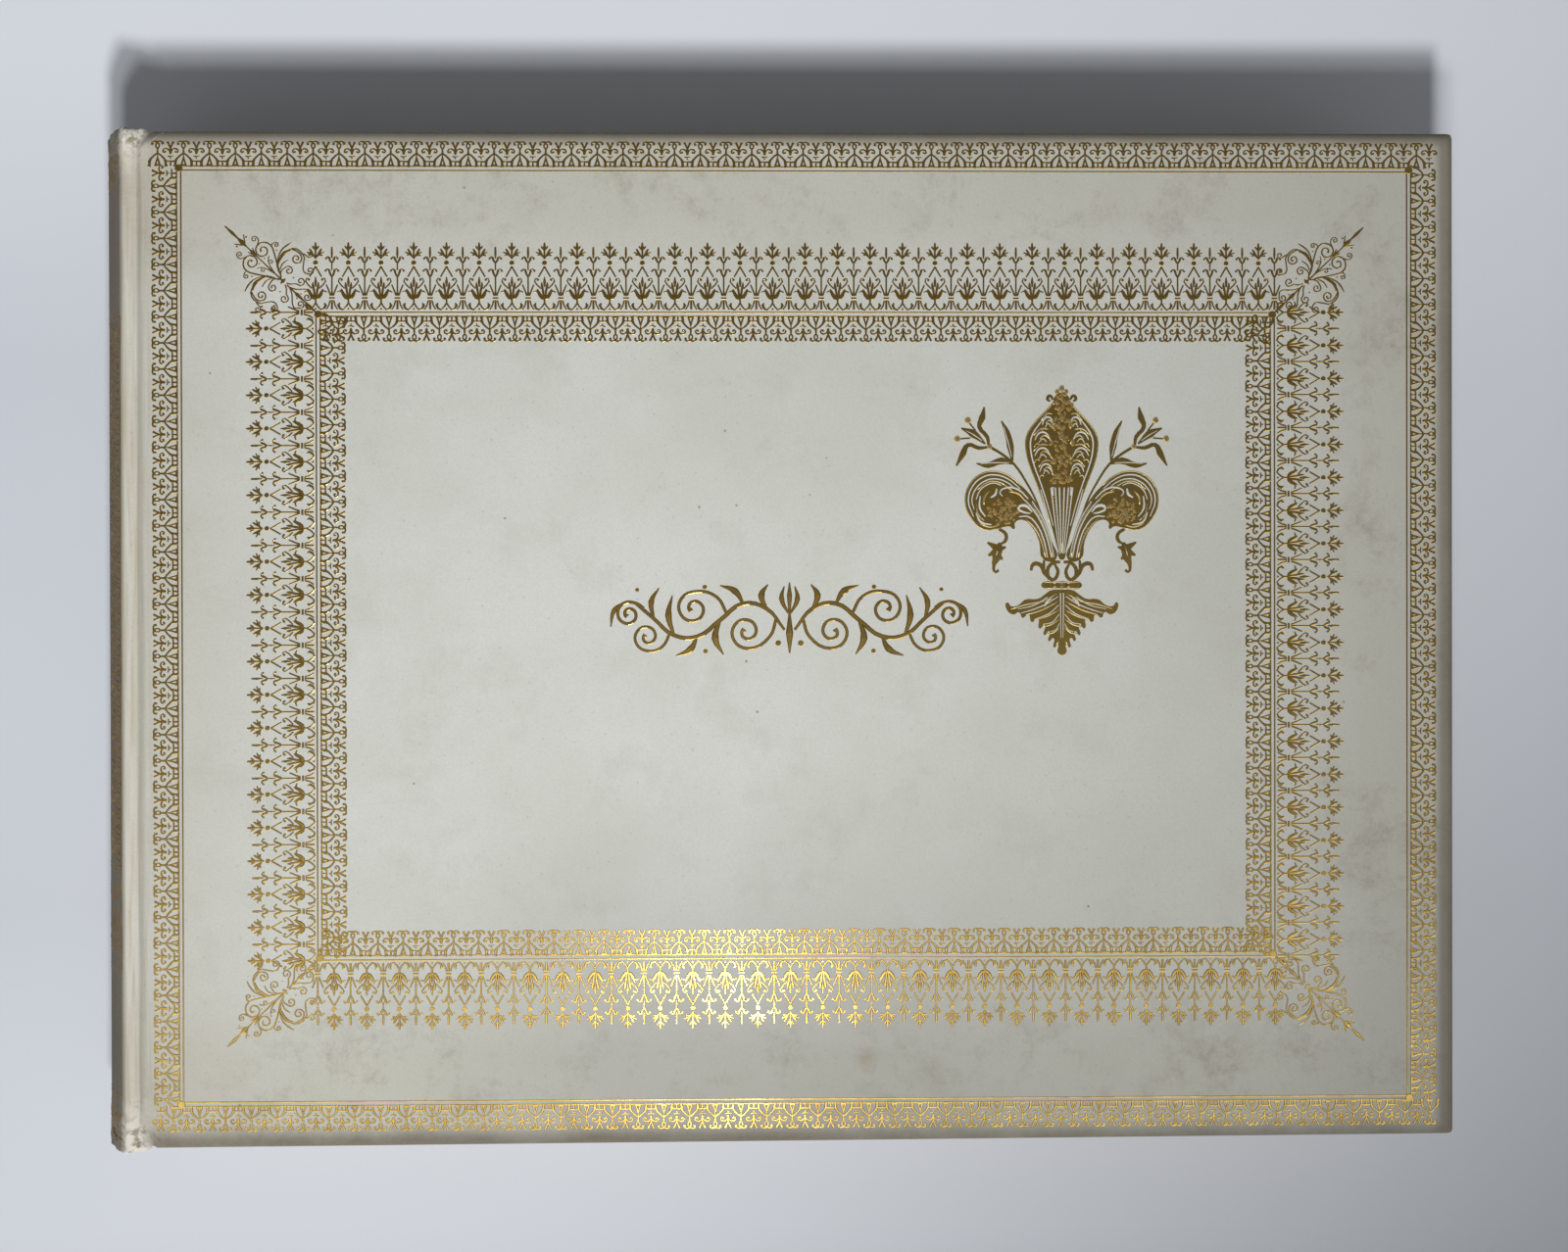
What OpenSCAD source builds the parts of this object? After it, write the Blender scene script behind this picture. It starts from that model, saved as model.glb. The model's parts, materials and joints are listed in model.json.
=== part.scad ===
// Oblong photograph album in vellum over boards, lying closed on its back cover.
// +X runs from the spine to the fore-edge, +Y to the head, +Z up through the front cover.
// Every size is in millimetres.

/* [Covers] */
// Height of the boards, head to tail
board_h = 306; // [280:1:330]
// Width of the boards, joint to fore-edge
board_w = 398.4; // [360:0.2:420]
// Thickness of the millboard
board_t = 3.4; // [2.8:0.1:4.4]
// Thickness of the vellum
skin_t = 0.6; // [0.4:0.05:0.8]
// Rounding of the covered board edges
edge_r = 1.6; // [1.2:0.1:2]
// Width of the vellum turned in over the boards
turn_w = 14; // [8:1:20]
// Width of the cut across each board corner at the joint
back_corner_w = 4.2; // [2:0.2:6]
// Height of the cut across each board corner at the joint
back_corner_h = 5.4; // [2:0.2:8]
// Rounding of the fore-edge corners
corner_r = 1.8; // [1:0.1:3]

/* [Spine] */
// Distance from the ridge of the spine to the board
joint_w = 4.6; // [4:0.1:6]
// How far the round of the spine stands out from its ridges
spine_rise = 12.5; // [9:0.5:15]
// How far the spine runs past the boards at head and tail
spine_over = 1; // [0.4:0.1:2]
// Thickness of the card that stiffens the spine
stiff_t = 1.2; // [0.8:0.1:1.8]
// Radius of the ridge along each joint
ridge_r = 1.2; // [0.9:0.05:1.4]
// Depth of the groove between ridge and board
groove_d = 2; // [1.6:0.1:2.6]

/* [Leaves] */
// Thickness of a card leaf
leaf_t = 1; // [0.7:0.05:1.1]
// Distance from leaf to leaf
leaf_pitch = 1.75; // [1.6:0.05:2.1]
// Overhang of the boards beyond the leaves
square_w = 4.5; // [3:0.5:7]
// Thickness of the linen that hinges a leaf
linen_t = 0.3; // [0.2:0.02:0.36]
// Bare linen between guard and leaf
flex_w = 8; // [6:0.5:12]
// Linen laid into the leaf
tongue_w = 12; // [8:1:20]
// Thickness of the endpapers
paper_t = 0.3; // [0.2:0.02:0.36]

/* [Sewing] */
// Width of a sewing tape
tape_w = 14; // [8:1:20]
// Thickness of a sewing tape
tape_t = 0.5; // [0.3:0.05:0.8]
// Thickness of the sewing thread
thread_d = 0.6; // [0.4:0.05:0.8]
// Thickness of the endbands
band_d = 2.4; // [1.6:0.1:2.6]

/* [Gilt fillets] */
// Width of one gilt line
line_w = 0.55; // [0.3:0.05:0.9]
// Distance between the two lines of a fillet
line_gap = 1.3; // [1:0.05:1.8]
// Margin from the head and tail of the board to the outer fillet
outer_margin = 12; // [9:0.5:18]
// Margin from the joint to the outer fillet
joint_margin = 12.2; // [9:0.2:18]
// Margin from the fore-edge to the outer fillet
fore_margin = 14.4; // [9:0.2:20]
// Width from the outer fillet to the inner one at the sides
frame_w = 41.65; // [32:0.05:52]
// Height from the outer fillet to the inner one at head and tail
frame_h = 43.95; // [32:0.05:54]
// Radius of the stamp on each corner of a fillet
stamp_r = 1.35; // [1:0.05:1.8]
// Depth of the impressed lines
line_d = 0.12; // [0.08:0.01:0.16]

/* [Hidden] */
$fn = 96;

// Clearances: seat between glued pieces, room between pieces that move
seat = 0.05;
room = 0.3;

leaf_count = 18;
tape_count = 5;

// Covers and whole book
cover_t = board_t + 2 * skin_t;
inner_gap = 0.35;
fly_guard_t = 0.75;
fly_pitch = inner_gap + paper_t + fly_guard_t + 2 * seat;
block_t = leaf_count * leaf_pitch + 2 * fly_pitch;
total_t = 2 * cover_t + block_t;
total_w = spine_rise + joint_w + board_w;
spine_h = board_h + 2 * spine_over;
leaf_h = board_h - 2 * square_w;
x_left = -total_w / 2;
x_fore = total_w / 2;
x_ridge = x_left + spine_rise;
x_board = x_ridge + joint_w;
z_mid = total_t / 2;
z_in = total_t - cover_t;

// Round of the spine, drawn through the ridges, which stand a little proud of it
ridge_drop = 0.4;
ridge_proud = 0.12;
ridge_in = ridge_r - ridge_proud;
z_ridge = total_t - ridge_drop - ridge_r;
ridge_half = z_ridge - z_mid;
spine_r = (pow(spine_rise, 2) + pow(ridge_half, 2) - pow(ridge_in, 2)) / (2 * (spine_rise - ridge_in));
x_round = x_left + spine_r;
spine_a = atan2(ridge_half, spine_r - spine_rise);

// Layers inside the round, from the vellum in to the guards
hollow = 1.2;
lining_t = 0.4;
stiff_out = spine_r - skin_t - seat;
stiff_in = stiff_out - stiff_t;
flap_out = stiff_in - seat;
flap_in = flap_out - skin_t;
stiff_a = spine_a - asin((ridge_r + room) / stiff_in);
lining_out = flap_in - hollow;
lining_in = lining_out - lining_t;
tape_out = lining_in - seat;
tape_in = tape_out - tape_t;
guard_r = tape_in - seat;
guard_a = asin((block_t / 2 - fly_pitch) / guard_r);

// Hinge lines of the leaves
bead_r = 0.25;
x_hinge = x_board + 9.2;
x_fly = x_hinge - 3.5;
x_card = x_hinge + flex_w;
x_leaf_end = x_fore - square_w;
z_fly = z_in - inner_gap - paper_t / 2;
guard_gap = bead_r + room;

// Thread lies inside the guards
thread_in = 1.6;
thread_h = leaf_h - 20;
tape_span = leaf_h - 70;

// Gilt lines
fillet_h = board_h - 2 * outer_margin;
fillet_w = board_w - joint_margin - fore_margin;
x_fillet = x_fore - fore_margin - fillet_w / 2;
inner_w = fillet_w - 2 * frame_w;
inner_h = fillet_h - 2 * frame_h;

function leaf_z(i) = z_in - fly_pitch - (i - 0.5) * leaf_pitch;
function tail(i) = str(i < 10 ? "0" : "", i);

vellum = [0.80, 0.79, 0.74];
gold = [0.66, 0.50, 0.22];
millboard = [0.50, 0.43, 0.35];
card = [0.86, 0.82, 0.72];
linen = [0.84, 0.82, 0.76];
paper = [0.90, 0.87, 0.79];
silk = [0.80, 0.73, 0.58];

// Rectangle with round corners, drawn from its centre
module round_rect(w, h, r) {
    square([w - 2 * r, h], center = true);
    square([w, h - 2 * r], center = true);
    for (sx = [-1, 1]) {
        for (sy = [-1, 1]) {
            translate([sx * (w / 2 - r), sy * (h / 2 - r)])
                circle(r = r);
        }
    }
}

// Outline of a board seen from above, its two corners at the joint cut across
module board_plan(inset) {
    difference() {
        translate([(x_board + x_fore) / 2, 0])
            round_rect(board_w - 2 * inset, board_h - 2 * inset, corner_r - 0.5 * inset);
        for (s = [-1, 1]) {
            polygon([
                [x_board - 1, s * (board_h / 2 - back_corner_h)],
                [x_board + inset, s * (board_h / 2 - back_corner_h - inset)],
                [x_board + back_corner_w + inset, s * (board_h / 2 - inset)],
                [x_board + back_corner_w + inset, s * (board_h / 2 + 1)],
                [x_board - 1, s * (board_h / 2 + 1)]
            ]);
        }
    }
}

// Board shape standing on z = 0, shrunk by inset all round, with edges rounded by r
module slab(inset, r, t) {
    intersection() {
        linear_extrude(t)
            board_plan(inset);
        translate([(x_board + x_fore) / 2, 0, t / 2])
            rotate([90, 0, 0])
                linear_extrude(board_h, center = true)
                    round_rect(board_w - 2 * inset, t, r);
        translate([(x_board + x_fore) / 2, 0, t / 2])
            rotate([90, 0, 90])
                linear_extrude(board_w, center = true)
                    round_rect(board_h - 2 * inset, t, r);
    }
}

// Vellum drawn over one board: outer face, edges and turn-ins, outer face on z = 0
module cover_skin() {
    window_w = board_w - turn_w;
    window_h = board_h - 2 * turn_w;
    difference() {
        slab(0, edge_r, cover_t);
        translate([0, 0, skin_t])
            slab(skin_t, edge_r - skin_t / 2, board_t);
        translate([x_board + skin_t, -window_h / 2, skin_t + board_t / 2])
            cube([window_w - skin_t, window_h, cover_t]);
    }
}

// Millboard that fills the skin
module cover_core() {
    translate([0, 0, skin_t])
        slab(skin_t, edge_r - skin_t / 2, board_t);
}

// Paper pasted on the inside of a board, between the turn-ins
module cover_paper() {
    sheet_w = board_w - turn_w - skin_t - 2 * room;
    sheet_h = board_h - 2 * turn_w - 2 * room;
    translate([x_board + skin_t + room, -sheet_h / 2, skin_t + board_t])
        cube([sheet_w, sheet_h, paper_t]);
}

// Turns a piece of the back cover over to make the front one
module as_front() {
    translate([0, 0, total_t])
        mirror([0, 0, 1])
            children();
}

// Two gilt lines along a rectangle with a stamp on each corner, wider by grow on every side
module fillet_plan(w, h, grow) {
    for (side = [-1, 1]) {
        out = side * line_gap + line_w + 2 * grow;
        in = side * line_gap - line_w - 2 * grow;
        difference() {
            square([w + out, h + out], center = true);
            square([w + in, h + in], center = true);
        }
    }
    for (sx = [-1, 1]) {
        for (sy = [-1, 1]) {
            translate([sx * w / 2, sy * h / 2])
                circle(r = stamp_r + grow, $fn = 32);
        }
    }
}

// The same lines pressed to depth d under the front face
module fillet_lines(w, h, grow, d) {
    translate([x_fillet, 0, total_t - d])
        linear_extrude(d + (grow > 0 ? 1 : 0))
            fillet_plan(w, h, grow);
}

// Part of a tube round the spine's centre line, half angle a, length h
module spine_ring(r_in, r_out, a, h) {
    translate([x_round, 0, z_mid])
        rotate([90, 0, 0])
            rotate([0, 0, 180 - a])
                rotate_extrude(angle = 2 * a)
                    translate([r_in, -h / 2])
                        square([r_out - r_in, h]);
}

module back_board() {
    color(millboard)
        cover_core();
}

module back_vellum() {
    color(vellum)
        cover_skin();
}

module back_pastedown() {
    color(paper)
        cover_paper();
}

module front_board() {
    color(millboard)
        as_front()
            cover_core();
}

module front_vellum() {
    color(vellum)
        difference() {
            as_front()
                cover_skin();
            fillet_lines(fillet_w, fillet_h, 0.03, line_d);
            fillet_lines(inner_w, inner_h, 0.03, line_d);
        }
}

module front_pastedown() {
    color(paper)
        as_front()
            cover_paper();
}

module outer_fillet() {
    color(gold)
        fillet_lines(fillet_w, fillet_h, 0, line_d);
}

module inner_fillet() {
    color(gold)
        fillet_lines(inner_w, inner_h, 0, line_d);
}

// Round of vellum with a ridge along each joint, turned in over its card at head and tail
module spine_vellum() {
    color(vellum) {
        spine_ring(spine_r - skin_t, spine_r, spine_a, spine_h);
        for (s = [-1, 1]) {
            translate([x_ridge, 0, z_mid + s * ridge_half])
                rotate([90, 0, 0])
                    cylinder(r = ridge_r, h = spine_h, center = true);
            translate([0, s * (spine_h - skin_t) / 2, 0])
                spine_ring(flap_in, spine_r, stiff_a, skin_t);
            translate([0, s * (spine_h - turn_w) / 2, 0])
                spine_ring(flap_in, flap_out, stiff_a, turn_w);
        }
    }
}

module spine_stiffener() {
    color(card)
        spine_ring(stiff_in, stiff_out, stiff_a, spine_h - 2 * skin_t - 2 * seat);
}

module spine_lining() {
    color(linen)
        spine_ring(lining_in, lining_out, guard_a, leaf_h - 12);
}

module sewing_tapes() {
    color(linen)
        for (i = [0:tape_count - 1]) {
            translate([0, tape_span * (i / (tape_count - 1) - 0.5), 0])
                spine_ring(tape_in, tape_out, guard_a, tape_w);
        }
}

// Thread lines, one in each guard, swelled by extra
module thread_lines(h, extra) {
    for (i = [1:leaf_count]) {
        dz = leaf_z(i) - z_mid;
        reach = sqrt(pow(guard_r - thread_in, 2) - pow(dz, 2));
        translate([x_round - reach, 0, leaf_z(i)])
            rotate([90, 0, 0])
                cylinder(r = thread_d / 2 + extra, h = h, center = true, $fn = 24);
    }
}

module sewing_thread() {
    color(linen)
        thread_lines(thread_h, 0);
}

// One guard from the round back to its front edge, between two heights
module guard(x_end, z0, z1) {
    intersection() {
        translate([x_left, -leaf_h / 2, z0])
            cube([x_end - x_left, leaf_h, z1 - z0]);
        translate([x_round, 0, z_mid])
            rotate([90, 0, 0])
                cylinder(r = guard_r, h = leaf_h + 2, center = true);
    }
}

module guard_stubs() {
    fly_far = inner_gap + paper_t + seat;
    color(card)
        difference() {
            union() {
                for (i = [1:leaf_count]) {
                    guard(x_hinge - guard_gap, leaf_z(i) - leaf_pitch / 2 + seat, leaf_z(i) + leaf_pitch / 2 - seat);
                }
                guard(x_fly - guard_gap, z_in - fly_pitch + seat, z_in - fly_far);
                guard(x_fly - guard_gap, cover_t + fly_far, cover_t + fly_pitch - seat);
            }
            thread_lines(leaf_h + 2, 0.06);
        }
}

// Silk band that sits on the end of the guards, s is 1 at the head and -1 at the tail
module endband(s) {
    color(silk)
        translate([x_round, s * (leaf_h + band_d + 2 * seat) / 2, z_mid])
            rotate([90, 0, 0])
                rotate([0, 0, 180 - guard_a])
                    rotate_extrude(angle = 2 * guard_a)
                        translate([guard_r - band_d / 2, 0])
                            circle(r = band_d / 2, $fn = 32);
}

module head_band() {
    endband(1);
}

module tail_band() {
    endband(-1);
}

// Vellum sunk in the groove between the ridge and the board
module joint_web() {
    web_r = 3.2;
    x_web = (x_ridge + x_board - room) / 2;
    color(vellum)
        translate([0, (board_h - 2 * back_corner_h) / 2, 0])
            rotate([90, 0, 0])
                linear_extrude(board_h - 2 * back_corner_h)
                    difference() {
                        intersection() {
                            difference() {
                                translate([x_web, total_t - groove_d + web_r])
                                    circle(r = web_r + skin_t);
                                translate([x_web, total_t - groove_d + web_r])
                                    circle(r = web_r);
                            }
                            translate([x_ridge, total_t - groove_d - skin_t - 1])
                                square([joint_w - room, groove_d + skin_t + 1 - ridge_drop]);
                        }
                        translate([x_ridge, z_ridge])
                            circle(r = ridge_r + seat);
                    }
}

module front_joint() {
    joint_web();
}

module back_joint() {
    as_front()
        joint_web();
}

// Paper bent over the guards towards the pasted-down sheet
module inner_joint() {
    x_from = x_ridge + 2.4;
    color(paper)
        translate([x_from, -leaf_h / 2, z_in - inner_gap - paper_t])
            cube([x_fly - guard_gap - x_from, leaf_h, paper_t]);
}

module front_inner_joint() {
    inner_joint();
}

module back_inner_joint() {
    as_front()
        inner_joint();
}

// Free endpaper with the fold it turns on
module flyleaf() {
    color(paper) {
        translate([x_fly, -leaf_h / 2, z_fly - paper_t / 2])
            cube([x_leaf_end - x_fly, leaf_h, paper_t]);
        translate([x_fly, 0, z_fly])
            rotate([90, 0, 0])
                cylinder(r = bead_r, h = leaf_h, center = true, $fn = 24);
    }
}

module front_flyleaf() {
    flyleaf();
}

module back_flyleaf() {
    as_front()
        flyleaf();
}

// Card leaf of two sheets, split at its root to take the linen
module leaf(i) {
    slot_t = linen_t + 2 * seat;
    color(card)
        translate([x_card, 0, leaf_z(i)])
            difference() {
                translate([0, -leaf_h / 2, -leaf_t / 2])
                    cube([x_leaf_end - x_card, leaf_h, leaf_t]);
                translate([-1, -leaf_h / 2 - 1, -slot_t / 2])
                    cube([tongue_w + 1 + seat, leaf_h + 2, slot_t]);
            }
}

// Linen strip that hinges a leaf to its guard, with the fold it turns on
module leaf_hinge(i) {
    strip_h = leaf_h - 3;
    color(linen)
        translate([x_hinge, 0, leaf_z(i)]) {
            translate([0, -strip_h / 2, -linen_t / 2])
                cube([flex_w + tongue_w, strip_h, linen_t]);
            rotate([90, 0, 0])
                cylinder(r = bead_r, h = strip_h, center = true, $fn = 24);
        }
}

back_board();
back_vellum();
back_pastedown();
front_board();
front_vellum();
front_pastedown();
outer_fillet();
inner_fillet();
spine_vellum();
spine_stiffener();
spine_lining();
sewing_tapes();
sewing_thread();
guard_stubs();
head_band();
tail_band();
front_joint();
back_joint();
front_inner_joint();
back_inner_joint();
front_flyleaf();
back_flyleaf();
for (i = [1:leaf_count]) {
    leaf(i);
    leaf_hinge(i);
}
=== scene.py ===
"""Oblong photograph album, bound in vellum over boards and tooled in gold, in metres."""

import json
import math
import random

import bpy
from mathutils import Matrix, Vector, noise


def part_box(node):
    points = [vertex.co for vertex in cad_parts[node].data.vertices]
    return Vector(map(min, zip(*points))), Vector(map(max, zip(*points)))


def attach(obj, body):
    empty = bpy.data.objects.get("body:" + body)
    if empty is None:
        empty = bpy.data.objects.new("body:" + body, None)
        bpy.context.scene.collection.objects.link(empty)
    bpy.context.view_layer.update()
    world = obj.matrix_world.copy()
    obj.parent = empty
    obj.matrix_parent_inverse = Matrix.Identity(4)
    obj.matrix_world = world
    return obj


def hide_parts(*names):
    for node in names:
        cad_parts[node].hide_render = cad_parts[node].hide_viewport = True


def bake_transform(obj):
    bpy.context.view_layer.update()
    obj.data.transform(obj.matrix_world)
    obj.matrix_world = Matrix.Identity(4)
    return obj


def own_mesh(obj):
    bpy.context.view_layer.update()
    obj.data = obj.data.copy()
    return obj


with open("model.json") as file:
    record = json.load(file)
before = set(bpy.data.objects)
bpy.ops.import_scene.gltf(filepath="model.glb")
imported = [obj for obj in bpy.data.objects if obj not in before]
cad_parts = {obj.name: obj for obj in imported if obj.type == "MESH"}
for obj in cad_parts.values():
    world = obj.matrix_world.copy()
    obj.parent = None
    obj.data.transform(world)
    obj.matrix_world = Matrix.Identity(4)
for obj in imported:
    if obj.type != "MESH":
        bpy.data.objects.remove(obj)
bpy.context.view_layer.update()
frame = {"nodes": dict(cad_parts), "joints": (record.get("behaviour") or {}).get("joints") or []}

# Card leaves. Each is two sheets of cream card pasted together and trimmed square.
# The binder splits the root of the card and pastes it round the linen that hinges it.
MM = 0.001
LEAF_COUNT = 18
LEAF_COLUMNS, LEAF_ROWS = 24, 18
LEAF_WAVE = 0.10 * MM
LEAF_TRIM = 0.35 * MM
LEAF_EDGE = 0.18 * MM


def deselect_all():
    bpy.ops.object.select_all(action="DESELECT")


def take_up(piece):
    """Select this piece alone and make it the active one."""
    deselect_all()
    piece.select_set(True)
    bpy.context.view_layer.objects.active = piece


def apply_modifier(piece, kind, **settings):
    """Add one modifier with these settings and apply it."""
    bpy.context.view_layer.objects.active = piece
    made = piece.modifiers.new(kind.lower(), kind)
    for key, value in settings.items():
        setattr(made, key, value)
    bpy.ops.object.modifier_apply(modifier=made.name)


def laid_grid(name, columns, rows, place):
    """A grid laid by a rule: its corners go where place says."""
    deselect_all()
    bpy.ops.mesh.primitive_grid_add(x_subdivisions=columns, y_subdivisions=rows, size=1)
    grid = bpy.context.object
    grid.name = name
    for corner in grid.data.vertices:
        i = round((corner.co.x + 0.5) * columns)
        j = round((corner.co.y + 0.5) * rows)
        corner.co = place(i, j)
    return grid


def laid_sheet(name, columns, rows, place, thickness, offset=-1.0):
    """A grid laid by a rule and given its thickness."""
    sheet = laid_grid(name, columns, rows, place)
    apply_modifier(sheet, "SOLIDIFY", thickness=thickness, offset=offset, use_even_offset=True)
    return sheet


def smooth(piece, angle=35):
    take_up(piece)
    bpy.ops.object.shade_smooth_by_angle(angle=math.radians(angle))


def own_copy(piece, name):
    """A copy with a mesh of its own."""
    twin = bpy.data.objects.new(name, piece.data.copy())
    bpy.context.collection.objects.link(twin)
    return twin


def tint(red, green, blue):
    """A colour as it is seen, 0 to 255, in the linear numbers that a shader takes."""
    shares = [value / 255 for value in (red, green, blue)]
    linear = [s / 12.92 if s <= 0.04045 else ((s + 0.055) / 1.055) ** 2.4 for s in shares]
    return (*linear, 1.0)


def new_finish(name, roughness, **sockets):
    """A material, its tree, its shader and the object coordinates that its patterns lie on."""
    finish = bpy.data.materials.new(name)
    finish.use_nodes = True
    shader = finish.node_tree.nodes["Principled BSDF"]
    shader.inputs["Roughness"].default_value = roughness
    for key, value in sockets.items():
        shader.inputs[key.replace("_", " ")].default_value = value
    place = finish.node_tree.nodes.new("ShaderNodeTexCoord").outputs["Object"]
    return finish, finish.node_tree, shader, place


def add_node(tree, kind, values=None, links=None):
    made = tree.nodes.new("ShaderNode" + kind)
    for key, value in (values or {}).items():
        if isinstance(key, int) or key in made.inputs:
            made.inputs[key].default_value = value
        else:
            setattr(made, key, value)
    for key, socket in (links or {}).items():
        tree.links.new(socket, made.inputs[key])
    return made


def cloud(tree, place, scale, detail=4.0, rough=0.55, distortion=0.0):
    values = {"Scale": scale, "Detail": detail, "Roughness": rough, "Distortion": distortion}
    return add_node(tree, "TexNoise", values, {"Vector": place}).outputs["Fac"]


def between(tree, socket, low, high, start=0.0, end=1.0):
    """The socket stretched so that low gives start and high gives end, held inside them."""
    values = {"From Min": low, "From Max": high, "To Min": start, "To Max": end}
    return add_node(tree, "MapRange", values, {"Value": socket}).outputs["Result"]


def sums(tree, operation, first, second):
    made = add_node(tree, "Math", {"operation": operation})
    for slot_number, value in enumerate((first, second)):
        if isinstance(value, (int, float)):
            made.inputs[slot_number].default_value = value
        else:
            tree.links.new(value, made.inputs[slot_number])
    return made.outputs[0]


def mixed(tree, share, first, second):
    """Two colours mixed by a share that runs over the surface."""
    made = add_node(tree, "Mix", {"data_type": "RGBA"}, {0: share})
    for slot_number, value in ((6, first), (7, second)):
        if isinstance(value, tuple):
            made.inputs[slot_number].default_value = value
        else:
            tree.links.new(value, made.inputs[slot_number])
    return made.outputs[2]


def add_bump(tree, shader, height, strength, depth):
    """A fine relief on the surface, on top of any relief that it already has."""
    made = add_node(tree, "Bump", {"Strength": strength, "Distance": depth}, {"Height": height})
    if shader.inputs["Normal"].is_linked:
        tree.links.new(shader.inputs["Normal"].links[0].from_socket, made.inputs["Normal"])
    tree.links.new(made.outputs["Normal"], shader.inputs["Normal"])


def rim(tree, place, low, high, width):
    """1 at the edges of a flat piece, falling to 0 at this width inside them."""
    axes = add_node(tree, "SeparateXYZ", None, {"Vector": place}).outputs
    across = sums(tree, "ABSOLUTE", sums(tree, "SUBTRACT", axes["X"], (low.x + high.x) / 2), 0)
    along = sums(tree, "ABSOLUTE", sums(tree, "SUBTRACT", axes["Y"], (low.y + high.y) / 2), 0)
    from_side = sums(tree, "SUBTRACT", (high.x - low.x) / 2, across)
    from_end = sums(tree, "SUBTRACT", (high.y - low.y) / 2, along)
    return between(tree, sums(tree, "MINIMUM", from_side, from_end), 0, width, 1, 0)


def paper_finish(name, pale, dark, toned, low, high):
    """Paper or card: cloudy cream, browned towards its edges, with fibres and a few fox marks."""
    finish, tree, shader, place = new_finish(name, 0.82, Specular_IOR_Level=0.25)
    fibres = cloud(tree, place, 850, 6, 0.7, 0.4)
    body = mixed(tree, between(tree, cloud(tree, place, 22, 5), 0.35, 0.68), pale, dark)
    edge = sums(tree, "MULTIPLY", rim(tree, place, low, high, 16 * MM), cloud(tree, place, 60, 5))
    body = mixed(tree, between(tree, edge, 0.05, 0.7, 0, 0.75), body, toned)
    marks = between(tree, cloud(tree, place, 130, 3, 0.4), 0.73, 0.8, 0, 0.45)
    body = mixed(tree, marks, body, toned)
    body = mixed(tree, between(tree, fibres, 0.62, 0.75, 0, 0.18), body, toned)
    tree.links.new(body, shader.inputs["Base Color"])
    tree.links.new(between(tree, fibres, 0.3, 0.7, 0.75, 0.9), shader.inputs["Roughness"])
    add_bump(tree, shader, fibres, 0.35, 0.06 * MM)
    return finish


leaf_low, leaf_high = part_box("leaf_01")
leaf_card = paper_finish(
    "leaf card", tint(229, 219, 194), tint(219, 206, 177), tint(186, 161, 120), leaf_low, leaf_high
)


def leaf_place(i, j):
    """Corner of the first leaf's middle layer, faintly waved as card lies after a century."""
    x = leaf_low.x + (leaf_high.x - leaf_low.x) * i / LEAF_COLUMNS
    y = leaf_low.y + (leaf_high.y - leaf_low.y) * j / LEAF_ROWS
    lift = LEAF_WAVE * noise.noise(Vector((x, y, 0.3)) * 11)
    return (x, y, (leaf_low.z + leaf_high.z) / 2 + lift)


leaf_thick = leaf_high.z - leaf_low.z
first_leaf = laid_sheet("album_leaf", LEAF_COLUMNS, LEAF_ROWS, leaf_place, leaf_thick, 0.0)
apply_modifier(first_leaf, "BEVEL", width=LEAF_EDGE, segments=2, limit_method="ANGLE")
trim = random.Random(4)
for number in range(1, LEAF_COUNT + 1):
    low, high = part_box(f"leaf_{number:02d}")
    leaf = own_copy(first_leaf, f"album_leaf_{number:02d}")
    shift = Vector((trim.uniform(-1, 0.4), trim.uniform(-1, 1), 0)) * LEAF_TRIM
    leaf.data.transform(Matrix.Translation(low - leaf_low + shift))
    leaf.data.materials.append(leaf_card)
    smooth(leaf)
    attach(leaf, f"leaf_{number:02d}")
    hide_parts(f"leaf_{number:02d}")
bpy.data.objects.remove(first_leaf)

# Linen hinges. A strip of plain-woven linen is sewn in with each guard and pasted into its leaf.
# The bare cloth between the two bends, so that a stiff leaf can lie back.
LINEN_BARE = 11 * MM
LINEN_PITCH = 0.55 * MM
LINEN_THICK = 0.3 * MM
LINEN_COLUMNS, LINEN_ROWS = 14, 16
WAVE_TURN = 0.31416


def linen_finish(name, pale, dark, pitch):
    """Plain weave: two sets of threads that go over and under each other."""
    finish, tree, shader, place = new_finish(name, 0.9, Specular_IOR_Level=0.2)
    threads = []
    for direction in ("X", "Y"):
        values = {"bands_direction": direction, "Scale": WAVE_TURN / pitch, "Distortion": 0.6}
        values.update({"Detail": 2.0, "Detail Scale": 1.5})
        threads.append(add_node(tree, "TexWave", values, {"Vector": place}).outputs["Fac"])
    weave = sums(tree, "MULTIPLY", threads[0], threads[1])
    slub = cloud(tree, place, 240, 3)
    body = mixed(tree, between(tree, weave, 0.05, 0.6), dark, pale)
    body = mixed(tree, between(tree, slub, 0.5, 0.75, 0, 0.4), body, dark)
    tree.links.new(body, shader.inputs["Base Color"])
    add_bump(tree, shader, weave, 0.6, 0.12 * MM)
    return finish


linen = linen_finish("hinge linen", tint(222, 216, 200), tint(176, 166, 144), LINEN_PITCH)
hinge_low, hinge_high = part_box("leaf_hinge_01")
strip_z = (hinge_low.z + hinge_high.z) / 2


def strip_place(i, j):
    x = hinge_low.x + LINEN_BARE * i / LINEN_COLUMNS
    y = hinge_low.y + (hinge_high.y - hinge_low.y) * j / LINEN_ROWS
    return (x, y, strip_z)


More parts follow.
